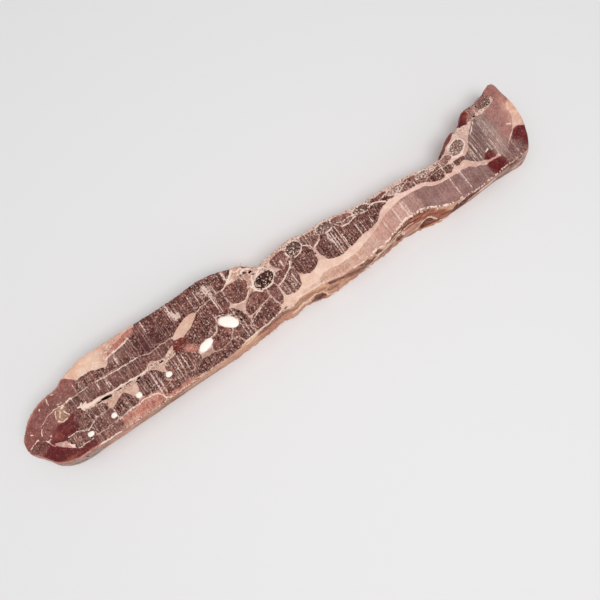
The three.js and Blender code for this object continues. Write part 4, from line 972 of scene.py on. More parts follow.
class Finish:
    """A node material in the making. node() adds any node, and the others are short names for common ones."""

    def __init__(self, name):
        self.material = bpy.data.materials.new(name)
        self.material.use_nodes = True
        self.tree = self.material.node_tree
        self.tree.nodes.clear()

    def node(self, kind, settings=None, inputs=None, output=0):
        """Adds a node: first its settings, then a value or a link for each socket. Gives one output."""
        made = self.tree.nodes.new(kind)
        for name, value in (settings or {}).items():
            setattr(made, name, value)
        for name, value in (inputs or {}).items():
            if isinstance(value, Maths):
                self.tree.links.new(value.socket, made.inputs[name])
            else:
                made.inputs[name].default_value = value
        return Maths(self, made.outputs[output]) if len(made.outputs) else None

    def layer(self, name, output="Fac"):
        return self.node("ShaderNodeAttribute", {"attribute_name": name}, output=output)

    def parts(self, vector):
        first = self.node("ShaderNodeSeparateXYZ", inputs={0: vector})
        return [Maths(self, socket) for socket in first.socket.node.outputs]

    def place(self, *per_mm):
        """Object coordinates, counted in steps per millimetre along x, y and z."""
        own = self.node("ShaderNodeTexCoord", output="Object")
        return self.node("ShaderNodeVectorMath", {"operation": "MULTIPLY"},
                         {0: own, 1: tuple(step / MM for step in per_mm)})

    def noise(self, place, scale=1.0, detail=2.0, roughness=0.5):
        return self.node("ShaderNodeTexNoise", inputs={"Vector": place, "Scale": scale, "Detail": detail,
                                                       "Roughness": roughness})

    def crystals(self, *per_mm):
        """Three numbers from 0 to 1, drawn at random for each crystal of this many to a millimetre."""
        return self.parts(self.node("ShaderNodeTexVoronoi", None,
                                    {"Vector": self.place(*per_mm), "Scale": 1},
                                    output="Color"))

    def step(self, value, low, high):
        """From 0 at low to 1 at high, smoothly."""
        return self.node("ShaderNodeMapRange", {"interpolation_type": "SMOOTHSTEP"},
                         {"Value": value, "From Min": low, "From Max": high})

    def mix(self, share, first, second, way="MIX"):
        """The first colour, going over to the second one by the share."""
        colours = [c if isinstance(c, Maths) else (*linear(c), 1) for c in (first, second)]
        return self.node("ShaderNodeMix", {"data_type": "RGBA", "blend_type": way, "clamp_factor": True},
                         {0: share, 6: colours[0], 7: colours[1]}, output=2)

    def bump(self, height, depth_mm, strength=1.0):
        return self.node("ShaderNodeBump", inputs={"Height": height, "Distance": depth_mm * MM,
                                                   "Strength": strength})

    def surface(self, **sockets):
        """Closes the material with a Principled shader."""
        named = {name.replace("_", " "): value for name, value in sockets.items()}
        shader = self.node("ShaderNodeBsdfPrincipled", inputs=named)
        self.node("ShaderNodeOutputMaterial", inputs={"Surface": shader})
        return self.material


FROST = (238, 204, 190)
CRACK_SHADE = (36, 21, 17)


def sawn_flesh():
    """The frozen cut: muscle and fat by their bounds, moved by fine noise so that the edges are ragged, pale
    seams where muscles touch, ice crystals pale and dark, streaks drawn across the strip by the saw, and
    cracks painted dark inside as shade."""
    f = Finish("sawn_flesh")
    cell, seam_gap, crumbled = f.parts(f.layer("bounds", "Vector"))
    specks, streaks, wet = f.parts(f.layer("traits", "Vector"))
    crack, frost, milky = f.parts(f.layer("marks", "Vector"))
    clouds = f.noise(f.place(0.06, 0.08, 0.1), 1, 3)
    blots = f.noise(f.place(0.2, 0.26, 0.3), 1, 3, 0.6)
    grain = f.noise(f.place(0.9, 0.6, 0.6), 1, 2, 0.6)
    fine = f.noise(f.place(1.4, 1.1, 0.8), 1, 2, 0.6)
    shade, glint, hue = f.crystals(1.2, 1.0, 0.8)
    pit = f.crystals(1.3, 1.2, 1.1)[0]
    saw = f.noise(f.place(0.85, 0.02, 0.03), 1, 2, 0.6)
    ragged = fine * 1.4 + blots * 1.6 - 1.5
    muscle = f.step(cell + ragged * 0.8, -0.2, 0.3)

    flesh = f.mix(f.step(clouds, 0.42, 0.62) * (0.08 + specks * 0.5), f.layer("tint", "Color"),
                  (255, 196, 190),
                  "MULTIPLY")
    flesh = f.mix(f.step(blots, 0.56, 0.4) * (0.2 + specks * 0.45), flesh, (160, 128, 126), "MULTIPLY")
    flesh = f.mix(f.step(blots, 0.5, 0.66) * (specks * 0.4 + wet * 0.1), flesh, (186, 124, 110))
    flesh = f.mix(0.55, flesh, 0.16 + shade * 0.35 + fine * 0.5, "OVERLAY")
    flesh = f.mix(f.step(grain, 0.5, 0.64) * specks * 0.3, flesh, (170, 116, 102))
    flesh = f.mix(f.step(shade, 0.45, 1) * specks * 0.62, flesh, (188, 136, 121))
    flesh = f.mix(f.step(pit, 0.5, 0.05) * (0.12 + specks * 0.66), flesh, (44, 20, 18))
    flesh = f.mix(f.step(glint + grain * 0.2, 0.99, 1.06) * (0.08 + specks * 0.62), flesh, FROST)

    fat = f.mix(f.step(clouds, 0.44, 0.6) * 0.3, f.layer("fat", "Color"), (240, 218, 210), "MULTIPLY")
    fat = f.mix(f.step(blots, 0.46, 0.62) * 0.35, fat, (255, 234, 216))
    fat = f.mix(f.step(shade, 0.4, 0) * (0.1 + crumbled * 0.8), fat, (140, 92, 76))
    fat = f.mix(f.step(glint, 0.55, 1) * (0.14 + crumbled * 0.7), fat, (254, 228, 208))
    fat = f.mix(f.step(pit, 0.2, 0.1) * crumbled * 0.9, fat, (66, 40, 32))
    skin = f.mix(muscle, fat, flesh)
    seam = f.step(seam_gap + ragged * 0.75, 0.78, 0.3) * f.step(grain, 0.36, 0.5)
    skin = f.mix(seam * 0.85, skin, f.mix(f.step(hue, 0.3, 1) * 0.7, f.layer("fat", "Color"), FROST))

    lines = f.step(saw, 0.5, 0.62)
    dotted = f.step(hue + grain * 0.4, 0.5, 0.9)
    skin = f.mix(lines * streaks * (0.12 + dotted * 0.5), skin, FROST)
    skin = f.mix(f.step(saw, 0.46, 0.34) * streaks * muscle * 0.4, skin, (80, 50, 45))
    skin = f.mix(f.step(frost * (0.35 + lines * 0.4 + dotted * 0.6), 0.3, 0.95) * 0.9, skin,
                 (238, 208, 196))
    milk = f.mix(f.step(wet, 0.6, 0.95), (250, 224, 208), (208, 142, 134))
    skin = f.mix(f.step(milky * (0.4 + fine * 0.5 + glint * 0.5) + ragged * 0.2, 0.45, 0.95) * 0.92, skin,
                 milk)
    # Inside the cracks: painted shade, near black where the cut goes down into them.
    skin = f.mix(f.step(crack + ragged * 0.4, 0.3, 0.7), skin, CRACK_SHADE)

    relief = fine * 0.3 + saw * 0.2 + grain * 0.3 + shade * 0.25
    return f.surface(
        Base_Color=skin,
        Roughness=0.6 + fine * 0.2 - wet * 0.3,
        Coat_Weight=wet * 0.15,
        Coat_Roughness=0.15,
        Specular_IOR_Level=0.06,
        Normal=f.bump(relief, 0.3),
    )


def natural_wall():
    """The wall that no saw touched: membrane over fat and muscle, drawn out in pale strings along the strip,
    with creases painted dark as shade, pale strings on its folds, some of them painted highlights, dry specks,
    and a white torn hem above and below."""
    f = Finish("natural_wall")
    depth = f.parts(f.layer("bounds", "Vector"))[0]
    specks, _, wet = f.parts(f.layer("traits", "Vector"))
    crease, torn, milky = f.parts(f.layer("marks", "Vector"))
    lumps = f.noise(f.place(0.07, 0.1, 0.11), 1, 3, 0.55)
    strings = f.noise(f.place(0.07, 0.2, 0.3), 1, 3, 0.6)
    fine = f.noise(f.place(1.1, 1.1, 0.5), 1, 2, 0.6)
    shade, glint, hue = f.crystals(1.1, 1.1, 0.4)
    ragged = fine * 1.4 + strings * 2.4 - 1.9
    muscle = f.step(depth + ragged, -0.6, 0.6)
    flesh = f.mix(f.step(strings, 0.56, 0.4) * 0.55, f.layer("tint", "Color"), (176, 140, 132), "MULTIPLY")
    flesh = f.mix(f.step(lumps, 0.5, 0.62) * 0.2, flesh, (206, 154, 138))
    fat = f.mix(f.step(lumps, 0.42, 0.6) * 0.6, f.layer("fat", "Color"), (226, 196, 184), "MULTIPLY")
    fat = f.mix(f.step(strings, 0.48, 0.36) * 0.4, fat, (158, 106, 90))
    skin = f.mix(muscle, fat, flesh)
    skin = f.mix(f.step(strings, 0.53, 0.66) * 0.4, skin, (236, 202, 184))
    skin = f.mix(f.step(shade, 0.5, 1) * (0.12 + specks * 0.4), skin, (206, 164, 148))
    skin = f.mix(f.step(shade, 0.4, 0) * (0.14 + specks * 0.6), skin, (112, 70, 60))
    # Creases painted dark as shade.
    skin = f.mix(f.step(crease + ragged * 0.3, 0.3, 0.75) * 0.8, skin, (84, 48, 40))
    # Pale strings, some of them painted highlights along the ridges of the folds.
    skin = f.mix(f.step(milky * (0.6 + hue * 0.7) + ragged * 0.35, 0.35, 0.85) * (0.6 + glint * 0.4), skin,
                 (246, 218, 196))
    skin = f.mix(f.step(torn * (0.5 + glint) + fine * 0.4, 0.7, 1.1), skin, (252, 228, 208))
    return f.surface(
        Base_Color=skin,
        Roughness=0.6 + fine * 0.2 - wet * 0.2,
        Coat_Weight=wet * 0.12,
        Coat_Roughness=0.25,
        Specular_IOR_Level=0.06,
        Normal=f.bump(strings * 0.7 + lumps * 0.4 + fine * 0.4 + shade * 0.2, 0.6),
    )


def marrow_bone():
    """A sawn rib: spongy dark marrow, with a frosted web in it, inside a rim of pale hard bone."""
    f = Finish("marrow_bone")
    radius = f.layer("radius")
    pale = f.layer("pale")
    blots = f.noise(f.place(0.24, 0.3, 0.3), 1, 2, 0.6)
    grain = f.noise(f.place(0.9, 0.7, 0.6), 1, 2, 0.6)
    shade, glint, hue = f.crystals(1.2, 1.0, 1.0)
    pit = f.crystals(1.3, 1.2, 1.1)[0]
    marrow = f.mix(pale, (60, 34, 28), (172, 132, 122))
    marrow = f.mix(f.step(blots, 0.44, 0.6) * 0.3, marrow, f.mix(pale, (98, 60, 49), (220, 186, 174)))
    marrow = f.mix(f.step(shade, 0.45, 1) * (0.35 + pale * 0.3), marrow,
                   f.mix(pale, (176, 128, 111), (232, 204, 192)))
    marrow = f.mix(f.step(pit, 0.5, 0.1) * 0.8, marrow, f.mix(pale, (34, 20, 17), (102, 72, 64)))
    marrow = f.mix(f.step(glint + grain * 0.3, 0.92, 1.02) * (0.85 + pale * 0.15), marrow, (240, 212, 198))
    rim = f.step(radius + grain * 0.12, 1.03, 1.07)
    skin = f.mix(rim * (1.2 - pale * 0.9), marrow,
                 f.mix(f.step(hue, 0.6, 1) * 0.3, RING_FAT, (208, 166, 152)))
    return f.surface(
        Base_Color=skin,
        Roughness=0.6 + grain * 0.2,
        Specular_IOR_Level=0.03,
        Normal=f.bump(shade + grain, 0.35),
    )


def gristle_and_glare():
    """The wet end of a rib, near full white, partly the gristle's own colour and partly a painted highlight:
    almost even, with a faint warm edge.
    """
    f = Finish("gristle_and_glare")
    at = f.place(1, 1, 1)
    fine = f.noise(at, 0.8, 3)
    edge = f.step(f.layer("radius") + fine * 0.15, 0.94, 1.06)
    # Near full white, brighter than gristle itself: its own white with a painted highlight in it.
    skin = f.mix(f.step(fine, 0.3, 0.7) * 0.3, (255, 250, 240), (250, 236, 218))
    return f.surface(
        Base_Color=f.mix(edge * 0.7, skin, (236, 206, 190)),
        Roughness=0.28 + fine * 0.15,
        Coat_Weight=0.3,
        Coat_Roughness=0.1,
        Normal=f.bump(fine, 0.2),
    )


def wet_scrap():
    """Dark blood-red meat, wet and stringy."""
    f = Finish("wet_scrap")
    strings = f.noise(f.place(0.35, 0.9, 1.2), 1, 4, 0.6)
    fine = f.noise(f.place(1, 1, 1), 1.4, 2)
    skin = f.mix(f.step(strings, 0.35, 0.68), (88, 24, 20), (148, 56, 44))
    return f.surface(
        Base_Color=f.mix(f.step(fine, 0.6, 0.75) * 0.3, skin, (206, 156, 142)),
        Roughness=0.28 + fine * 0.2,
        Coat_Weight=0.4,
        Coat_Roughness=0.12,
        Normal=f.bump(strings + fine * 0.3, 0.5),
    )


def dry_fibre():
    """Torn threads of fat and skin, pale at some places and dark at others."""
    f = Finish("dry_fibre")
    patch = f.noise(f.place(1, 1, 1), 0.2, 2)
    skin = f.mix(f.step(patch, 0.4, 0.6), (224, 186, 160), (150, 104, 86))
    return f.surface(Base_Color=skin, Roughness=0.5 + patch * 0.1)


# ---- The upper cut ----

CUT_STATIONS = 1360
CUT_COLUMNS = 131
LID_DEPTH = 8.5
SOCKET = 1.6  # how far the cut is sunk under each rib end, which has a top of its own


def cut_relief(x, y, layers):
    """Height of the sawn face against the plain cut: fat stands a little proud, seams are grooves, frozen
    grain and saw ridges roughen it, and cracks and the seats of the ribs go down."""
    depth, crumbled = layers["bounds"][:, 0], layers["bounds"][:, 2] * (layers["bounds"][:, 0] < 0.3)
    specks = layers["traits"][:, 0] + 2 * crumbled
    waves = 0.16 * lattice_noise(x / 22, y / 12, 11) + 0.1 * lattice_noise(x / 7, y / 7, 12)
    fat = 0.12 * smooth_step(0.2, -1.5, depth)
    groove = -0.22 * np.exp(-((depth + 0.1) / 0.5) ** 2)
    grain = 0.13 * (0.3 + specks) * lattice_noise(x / 0.9, y / 0.9, 13)
    ridges = 0.05 * np.sin(2 * np.pi * (x + 0.8 * lattice_noise(x / 9, y / 30, 14)) / 2.6)
    height = waves + fat + groove + grain + ridges
    for cx, cy, long, short, deep, turn in CRACKS:
        radius = turned_oval(x, y, (cx, cy), (long, short), turn)
        height -= deep * (1 - smooth_step(0.3, 1.1, radius))
    for _, cx, cy, long, short, turn, _ in RIB_ENDS:
        radius = turned_oval(x, y, (cx, cy), (long, short), turn)
        height -= SOCKET * (1 - smooth_step(*SOCKET_RIM, radius))
    return height


def cut_face(name, first, last, finish):
    """The upper cut from one station to another as a lid: across each station the face, a ragged rim down
    to the wall, and a floor that dips well inside the flanks. Where a lid is parted from the next one, a last
    ring drawn in to its middle closes it. At the tip of the tail its edges lie within a hundredth of a
    millimetre of each other, but aren't joined."""
    x, far_y, near_y, *_ = stations(CUT_STATIONS)
    far_out, near_out = outward(x, far_y, near_y)
    x, far_y, near_y, far_out, near_out = (all[first:last] for all in (x, far_y, near_y, far_out, near_out))
    far_y, near_y = far_y + jagged(x, "far"), near_y - jagged(x, "near")
    across = np.linspace(0, 1, CUT_COLUMNS)
    face_x = np.repeat(x[:, None], CUT_COLUMNS, axis=1)
    face_y = far_y[:, None] * (1 - across) + near_y[:, None] * across
    layers = cut_pattern(face_x.ravel(), face_y.ravel())
    width = (far_y - near_y)[:, None]
    edge = np.minimum(across, 1 - across)[None, :] * width
    relief = cut_relief(face_x.ravel(), face_y.ravel(), layers).reshape(face_x.shape)
    relief = relief - 0.35 * np.exp(-((edge / 0.6) ** 2))
    frayed = 1.6 + 0.8 * smooth_step(40, 56, face_x) * smooth_step(146, 120, face_x) * (face_y < -12)
    white_rim = smooth_step(frayed, 0.3, edge) * (0.7 + 1.1 * lattice_noise(face_x / 1.3, face_y / 1.6, 21))
    beads = (np.clip(white_rim, 0, 2) * (face_y < -12) * smooth_step(40, 56, face_x)
             * smooth_step(234, 226, face_x))
    layers["marks"][:, 2] += ((1.3 - 0.6 * smooth_step(140, 156, face_x)) * beads).ravel()
    layers["marks"][:, 1] += np.clip(white_rim * rim_whiteness(face_x, face_y), 0, 3).ravel()
    bark = 0.9 * smooth_step(1.8, 0.2, edge) * smooth_step(-205, -212, face_x)
    layers["tint"] += bark.ravel()[:, None] * (linear((200, 148, 134)) - layers["tint"])

    def rim(y, out, stand_out, z):
        fray = stand_out + 0.22 * lattice_noise(x / 1.3, y / 1.3, 22)
        return np.stack([x + out[:, 0] * fray, y + out[:, 1] * fray, np.full(x.shape, z)], 1)

    def floor(share):
        y = far_y * (1 - share) + near_y * share
        return np.stack([x * 0.985, y, np.full(x.shape, THICKNESS - LID_DEPTH)], 1)

    columns = [np.stack([face_x[:, j], face_y[:, j], THICKNESS + relief[:, j]], 1)
               for j in range(CUT_COLUMNS)]
    columns += [rim(near_y, near_out, 0.3, THICKNESS - 0.6), rim(near_y, near_out, 0.2, THICKNESS - 1.3)]
    columns += [floor(share) for share in (0.93, 0.65, 0.35, 0.07)]
    columns += [rim(far_y, far_out, 0.2, THICKNESS - 1.3), rim(far_y, far_out, 0.3, THICKNESS - 0.6)]
    points = np.stack(columns, axis=1)
    spare = points.shape[1] - CUT_COLUMNS
    layers = {layer: widened(values, CUT_COLUMNS, spare) for layer, values in layers.items()}
    parted = 0 if first > 0 else -1
    middle = np.repeat(points[parted].mean(0)[None, None], points.shape[1], axis=1)
    if first > 0:
        points = np.concatenate([middle, points])
        layers = {layer: np.concatenate([v[:points.shape[1]], v]) for layer, v in layers.items()}
    else:
        points = np.concatenate([points, middle])
        layers = {layer: np.concatenate([v, v[-points.shape[1]:]]) for layer, v in layers.items()}
    return shown(name, points.reshape(-1, 3), ring_quads(*points.shape[:2]), layers, [finish],
                 ["meat"])


def jagged(x, side):
    """How far the upper edge stands out in small teeth: noise along the strip, with more of it where the fat
    at the edge is frayed."""
    if side == "far":
        rough = 0.25 + 0.5 * smooth_step(-45, -30, x) * smooth_step(200, 160, x)
    else:
        rough = (0.2 + 0.4 * smooth_step(30, 60, x)
                 + 0.25 * smooth_step(-20, -60, x) * smooth_step(-230, -200, x))
        rough += 0.5 * smooth_step(44, 56, x) * smooth_step(116, 104, x)
    ends = smooth_step(-262, -250, x) * smooth_step(243, 232, x)
    start = 23 if side == "far" else 24
    teeth = (0.6 * lattice_noise(x / 1.4, 0 * x + start, 23)
             + 0.7 * lattice_noise(x / 4.5, 0 * x + start, 24))
    return rough * ends * teeth


def widened(values, columns, spare):
    """Layers of the face carried on round the lid: each spare column takes the value of the nearer edge."""
    grid = values.reshape(-1, columns, *values.shape[1:])
    near = np.repeat(grid[:, -1:], spare // 2, axis=1)
    far = np.repeat(grid[:, :1], spare - spare // 2, axis=1)
    return np.concatenate([grid, near, far], axis=1).reshape(-1, *values.shape[1:])


def rim_whiteness(x, y):
    """Where the edge of the cut is frayed white: along the near side, most of all in the head half, and along
    the far side from the notch to the head, less on the tail half."""
    near = ((0.5 + 0.5 * smooth_step(-85, -60, x)) * smooth_step(-240, -225, x)
            * smooth_step(232, 200, x) * (y < -12))
    far = smooth_step(-36, -28, x) * smooth_step(168, 160, x) * (y > -8)
    crown = 0.5 * smooth_step(-212, -200, x) * smooth_step(-45, -60, x) * (y > 15)
    return near + 0.9 * far + crown


# ---- The flanks: both natural walls and the lower cut ----

FLANK_STATIONS = 730
NEAR_ROWS, FOOT_ROWS, FAR_ROWS = 46, 54, 28
SHOULDER_DROP, DISH_DEPTH = 0.9, 7  # how far under the cut the walls end, and how deep the hidden dish is
SOCKET_RIM = (0.8, 0.94)  # shares of a rib's radius over which its socket rises to the face round it
# How far the far wall is drawn in towards the head, how much more by the corner, and from which x to which
# each of them comes in and goes.
DRAWN_IN, CORNER_DRAWN_IN = 1.8, 1.2
DRAWN_IN_FROM, CORNER_FROM, DRAWN_IN_TO = (154, 166), (228, 232), (241, 238)


def folds(x, y, z, near):
    """Folds of a wall: long soft rolls along it and shallow dimples. The near wall also has the swellings of
    its table, each a bell curve, grooves along its creases and ridges along its strings. The far wall swells
    over each rib by a bell curve along x, sinks a little between, and is drawn in towards the head."""
    long_rolls = (0.5 * lattice_noise((x + y) / 26, z / 6.5, 31)
                  + 0.35 * lattice_noise((x - y) / 11, z / 3.2, 32))
    dimples = 0.2 * lattice_noise(x / 3.2, z / 2.2 + y / 5, 33)
    height = np.full(x.shape, z)
    if near:
        crease, _, milky = wall_marks(x, height)
        form = 0.4 * np.minimum(milky, 1.2) - 0.7 * np.minimum(crease, 1)
        for cx, cz, half_x, half_z, out in WALL_SWELLS:
            form += out * np.exp(-(((x - cx) / half_x) ** 2 + ((z - cz) / half_z) ** 2))
    else:
        form = -0.4 * smooth_step(-60, -30, x) * smooth_step(170, 150, x)
        for node, cx, *_ in RIB_ENDS:
            form += (0.7 if "bone" in node else 0.3) * np.exp(-(((x - cx) / 8) ** 2))
    window = np.sin(np.pi * np.clip(z / THICKNESS, 0, 1)) ** 0.5
    if not near:
        drawn_in = ((DRAWN_IN + CORNER_DRAWN_IN * smooth_step(*CORNER_FROM, x))
                    * smooth_step(*DRAWN_IN_FROM, x) * smooth_step(*DRAWN_IN_TO, x))
        form -= 0.8 * smooth_step(0.45, 0.8, z / THICKNESS) + drawn_in
    hem = 0.7 * lattice_noise(x / 2.6, 0 * x, 35) * smooth_step(5, 0.5, z) * hem_whiteness(x) * near
    return (long_rolls + dimples + form) * window + hem


def hem_whiteness(x):
    """Where the foot of the near wall is torn and pale: from before the waist to the head."""
    return smooth_step(-100, -86, x) * smooth_step(156, 144, x) + 0.5 * smooth_step(150, 165, x)


def wall_marks(x, z):
    """Three marks of the near wall: creases, which carry painted shade, the white torn hem along its upper edge
    and its foot, and pale strings, some of them painted highlights along ridges. Each line fades by a bell
    curve of the distance, in which a height counts a third."""
    flat = z * 0.35
    wander = lattice_noise(x / 3.6, z / 5, 37) + 0.4 * lattice_noise(x / 1.5, z / 2.4, 38)
    lines = []
    for table in (WALL_SHADED_CREASES, WALL_STRINGS_AND_HIGHLIGHTS):
        mark = np.zeros(x.shape)
        for half_width, strength, points in table:
            path = [(px, pz * 0.35) for px, pz in points]
            low, high = np.min(path, axis=0) - 3 * half_width, np.max(path, axis=0) + 3 * half_width
            near = np.flatnonzero((x > low[0]) & (x < high[0]) & (flat > low[1]) & (flat < high[1]))
            gap = path_distance(x[near] + wander[near], flat[near] + 0.3 * wander[near], path)
            mark[near] = np.maximum(mark[near], strength * np.exp(-((gap / (0.85 * half_width)) ** 2)))
        lines.append(mark)
    tooth = 0.5 + 0.6 * lattice_noise(x / 1.5, z / 4, 36)
    upper = smooth_step(26.5, 31, z) * (smooth_step(44, 54, x) * smooth_step(232, 214, x) + 0.25)
    foot = smooth_step(3.4, 1, z) * hem_whiteness(x)
    return lines[0], np.clip((upper + foot) * tooth, 0, 1), lines[1]


def flanks(wall_finish, cut_finish):
    """The body under the cut face: down the near wall, across the lower cut, up the far wall and over a dish
    that lies hidden under the lid. At both tips the walls are joined at the foot and the shoulder only. Between
    them their rows of points differ, which leaves an upright slit up to 0.7 mm wide."""
    x, far_y, near_y, far_lean, near_lean = stations(FLANK_STATIONS)
    far_out, near_out = outward(x, far_y, near_y)
    shoulder = THICKNESS - SHOULDER_DROP

    def wall(y, lean, out, z, near):
        teeth = jagged(x, "near" if near else "far") * smooth_step(0.55, 1, z / THICKNESS)
        y = y - teeth if near else y + teeth
        base = stand(lean, z / THICKNESS)
        swell = base + folds(x + out[:, 0] * base, y + out[:, 1] * base, z, near)
        return np.stack([x + out[:, 0] * swell, y + out[:, 1] * swell, np.full(x.shape, z)], 1)

    near_columns = [wall(near_y, near_lean, near_out, z, 1) for z in np.linspace(shoulder, 0, NEAR_ROWS)]
    far_columns = [wall(far_y, far_lean, far_out, z, 0) for z in np.linspace(0, shoulder, FAR_ROWS)]
    tips = smooth_step(0, 6, np.minimum(x - x[0], x[-1] - x))
    for near, far in zip((near_columns[0], near_columns[-1]), (far_columns[-1], far_columns[0])):
        far[[0, -1]] = near[[0, -1]]
    near_foot, far_foot = near_columns[-1], far_columns[0]
    across = np.linspace(0, 1, FOOT_ROWS + 2)[1:-1]
    foot_columns = [near_foot * (1 - share) + far_foot * share for share in across]
    for column in foot_columns:
        for _, cx, cy, long, short, turn, _ in RIB_ENDS:
            foot = (cx + RIB_SLANT[0] * THICKNESS, cy + RIB_SLANT[1] * THICKNESS)
            radius = turned_oval(column[:, 0], column[:, 1], foot, (long, short), turn)
            column[:, 2] += 0.8 * (1 - smooth_step(*SOCKET_RIM, radius))
    dish_columns = []
    for share in (0.06, 0.35, 0.65, 0.94):
        y = far_y * (1 - share) + near_y * share
        depth = THICKNESS - SHOULDER_DROP - DISH_DEPTH * tips
        dish_columns.append(np.stack([x * 0.99, y, depth], 1))
    points = np.stack(near_columns + foot_columns + far_columns + dish_columns, axis=1)
    columns = points.shape[1]
    flat = points.reshape(-1, 3)

    kinds = np.repeat([0, 1, 2, 0], [NEAR_ROWS, FOOT_ROWS, FAR_ROWS, len(dish_columns)])
    kind = np.tile(kinds, len(x))
    layers = {name: np.zeros((len(flat), 3)) for name in ("bounds", "tint", "fat", "traits", "marks")}
    foot_edge = np.tile(np.isin(np.arange(columns), [NEAR_ROWS - 1, NEAR_ROWS + FOOT_ROWS]), len(x))
    below = (kind == 1) | foot_edge
    slant = np.array(RIB_SLANT) * THICKNESS
    for name, values in cut_pattern(flat[:, 0] - slant[0], flat[:, 1] - slant[1]).items():
        layers[name][below] = values[below]
    for wall_kind, patches, tones in ((0, NEAR_WALL, WALL_TONES), (2, FAR_WALL, [])):
        side = (kind == wall_kind) & ~below
        wall_x, wall_z = flat[side, 0], flat[side, 2]
        depth, _, colour, traits = muscles_at(wall_x, wall_z, patches)
        fat = np.tile(linear(WALL_FAT), (wall_x.size, 1))
        for cx, cz, half_x, half_z, tone, most in tones:
            share = most * np.exp(-(((wall_x - cx) / half_x) ** 2 + ((wall_z - cz) / half_z) ** 2))
            fat += share[:, None] * (linear(tone) - fat)
        layers["bounds"][side, 0], layers["tint"][side], layers["traits"][side] = depth, colour, traits
        warm = (smooth_step(-110, -60, wall_x) * smooth_step(170, 140, wall_x))[:, None]
        layers["tint"][side] *= 1 - warm * np.array(WALL_WARMTH)
        layers["fat"][side] = fat * (1 - warm * np.array(WALL_WARMTH))
        if wall_kind == 0:
            layers["marks"][side] = np.stack(wall_marks(wall_x, wall_z), axis=1)
    first_foot, last_foot = NEAR_ROWS - 1, NEAR_ROWS + FOOT_ROWS
    of_cut = (np.arange(columns) >= first_foot) & (np.arange(columns) < last_foot)
    return shown("flanks", flat, ring_quads(len(x), columns), layers, [wall_finish, cut_finish],
                 ["meat"], np.tile(of_cut, len(x) - 1))


# ---- The rib ends ----

RIB_SEGMENTS = 72


def rib_end(name, cx, cy, long, short, turn, pale, finish):
    """A rib end as a leaning column. Round each height runs a superellipse with slightly wavering radius; the
    upper face is rings from the middle out, sunk where there is marrow, or domed where there is gristle."""
    gristle = "gristle" in name
    around = np.linspace(0, 2 * np.pi, RIB_SEGMENTS, endpoint=False)
    power = 2 / 2.4
    ring_x = np.sign(np.cos(around)) * np.abs(np.cos(around)) ** power
    ring_y = np.sign(np.sin(around)) * np.abs(np.sin(around)) ** power
    waver = 1 + 0.035 * np.sin(3 * around + cx) + 0.02 * np.sin(5 * around + 2 * cx)
    shares = np.array([0.0001, 0.12, 0.25, 0.38, 0.5, 0.62, 0.73, 0.82, 0.89, 0.94, 0.975, 1.0])
    if gristle:
        swell = 0.55 * (1 - shares**2) + 0.12
    else:
        swell = 0.12 - 0.3 * smooth_step(0.93, 0.82, shares)
    swell = swell - 0.25 * smooth_step(0.95, 1, shares)
    down = np.linspace(THICKNESS - 0.8, 0.4, 7)
    radius = np.concatenate([shares, np.ones(len(down)), shares[::-1]])
    height = np.concatenate([THICKNESS + swell, down, 0.0 * shares[::-1]])
    angle = np.radians(turn)
    along = ring_x * waver * radius[:, None] * long
    side = ring_y * waver * radius[:, None] * short
    fall = (THICKNESS - height)[:, None]
    x = cx + RIB_SLANT[0] * fall + along * np.cos(angle) - side * np.sin(angle)
    y = cy + RIB_SLANT[1] * fall + along * np.sin(angle) + side * np.cos(angle)
    z = np.repeat(height[:, None], RIB_SEGMENTS, axis=1)
    rough = 0.04 if gristle else 0.11
    top = (np.arange(len(radius)) < len(shares))[:, None] * smooth_step(1, 0.85, radius)[:, None]
    z = z + top * rough * lattice_noise(x / 1.1, y / 1.1, 41)
    points = np.stack([x, y, z], -1)
    points[0], points[-1] = points[0].mean(0), points[-1].mean(0)
    layers = {"radius": np.repeat(radius * (0.93 if cx > RINGLESS_FROM else 1), RIB_SEGMENTS),
              "pale": np.full(points[..., 0].size, float(pale))}
    return shown(name.replace("rib", "sawn_rib"), points.reshape(-1, 3),
                 ring_quads(len(radius), RIB_SEGMENTS),
                 layers, [finish], [name])


# ---- Loose scraps and threads ----


def flap(name, centre, size, turn, finish):
    """A flattened lump with a ragged skin: a sphere stretched to the flap's sizes, whose radius wavers by noise
    over its longitude and latitude."""
    down, around = np.meshgrid(np.linspace(0, np.pi, 40), np.linspace(0, 2 * np.pi, 80, endpoint=False),
                               indexing="ij")
    waver = np.sin(down) * (0.16 * lattice_noise(around * 2.55, down * 4, 51)
                            + 0.1 * lattice_noise(around * 7.65, down * 9, 52))
    radius = 1 + waver * np.sin(around / 2) ** 0.5
    along = size[0] * radius * np.sin(down) * np.cos(around)
    side = size[1] * radius * np.sin(down) * np.sin(around)
    up = size[2] * radius * np.cos(down)
    angle = np.radians(turn)
    points = np.stack([centre[0] + along * np.cos(angle) - side * np.sin(angle),
                       centre[1] + along * np.sin(angle) + side * np.cos(angle), centre[2] + up], -1)
    points[0], points[-1] = points[0].mean(0), points[-1].mean(0)
    return shown(name, points.reshape(-1, 3), ring_quads(*points.shape[:2]), {}, [finish],
                 ["meat"], crease=70)


# Torn threads: how many, the stretch of edge from x to x, its side, their length, width and height.
THREADS = [(26, (-46, -27), "far", 2.6, 0.28, 31.2), (46, (-70, 190), "near", 1.3, 0.22, 31.2),
        (34, (-34, 165), "far", 1.2, 0.2, 31.2), (16, (-215, -70), "near", 1.1, 0.2, 31.2),
        (40, (48, 112), "near", 1.6, 0.3, 31), (70, (-92, 150), "near", 1.8, 0.3, 1.2)]
# Single longer ones: foot x, y, z, tip x, y, z and width.
WHISKERS = [((69.6, 4.4, 31.4), (72.8, 7.4, 31), 0.32), ((238.6, 26.2, 31), (242.2, 27.8, 30.4), 0.6),
        ((-37, 14.6, 31), (-32.4, 13.6, 32), 0.5), ((-41, 19, 31), (-36, 17.6, 31.6), 0.5)]
THREAD_RINGS, THREAD_SIDES = 6, 5


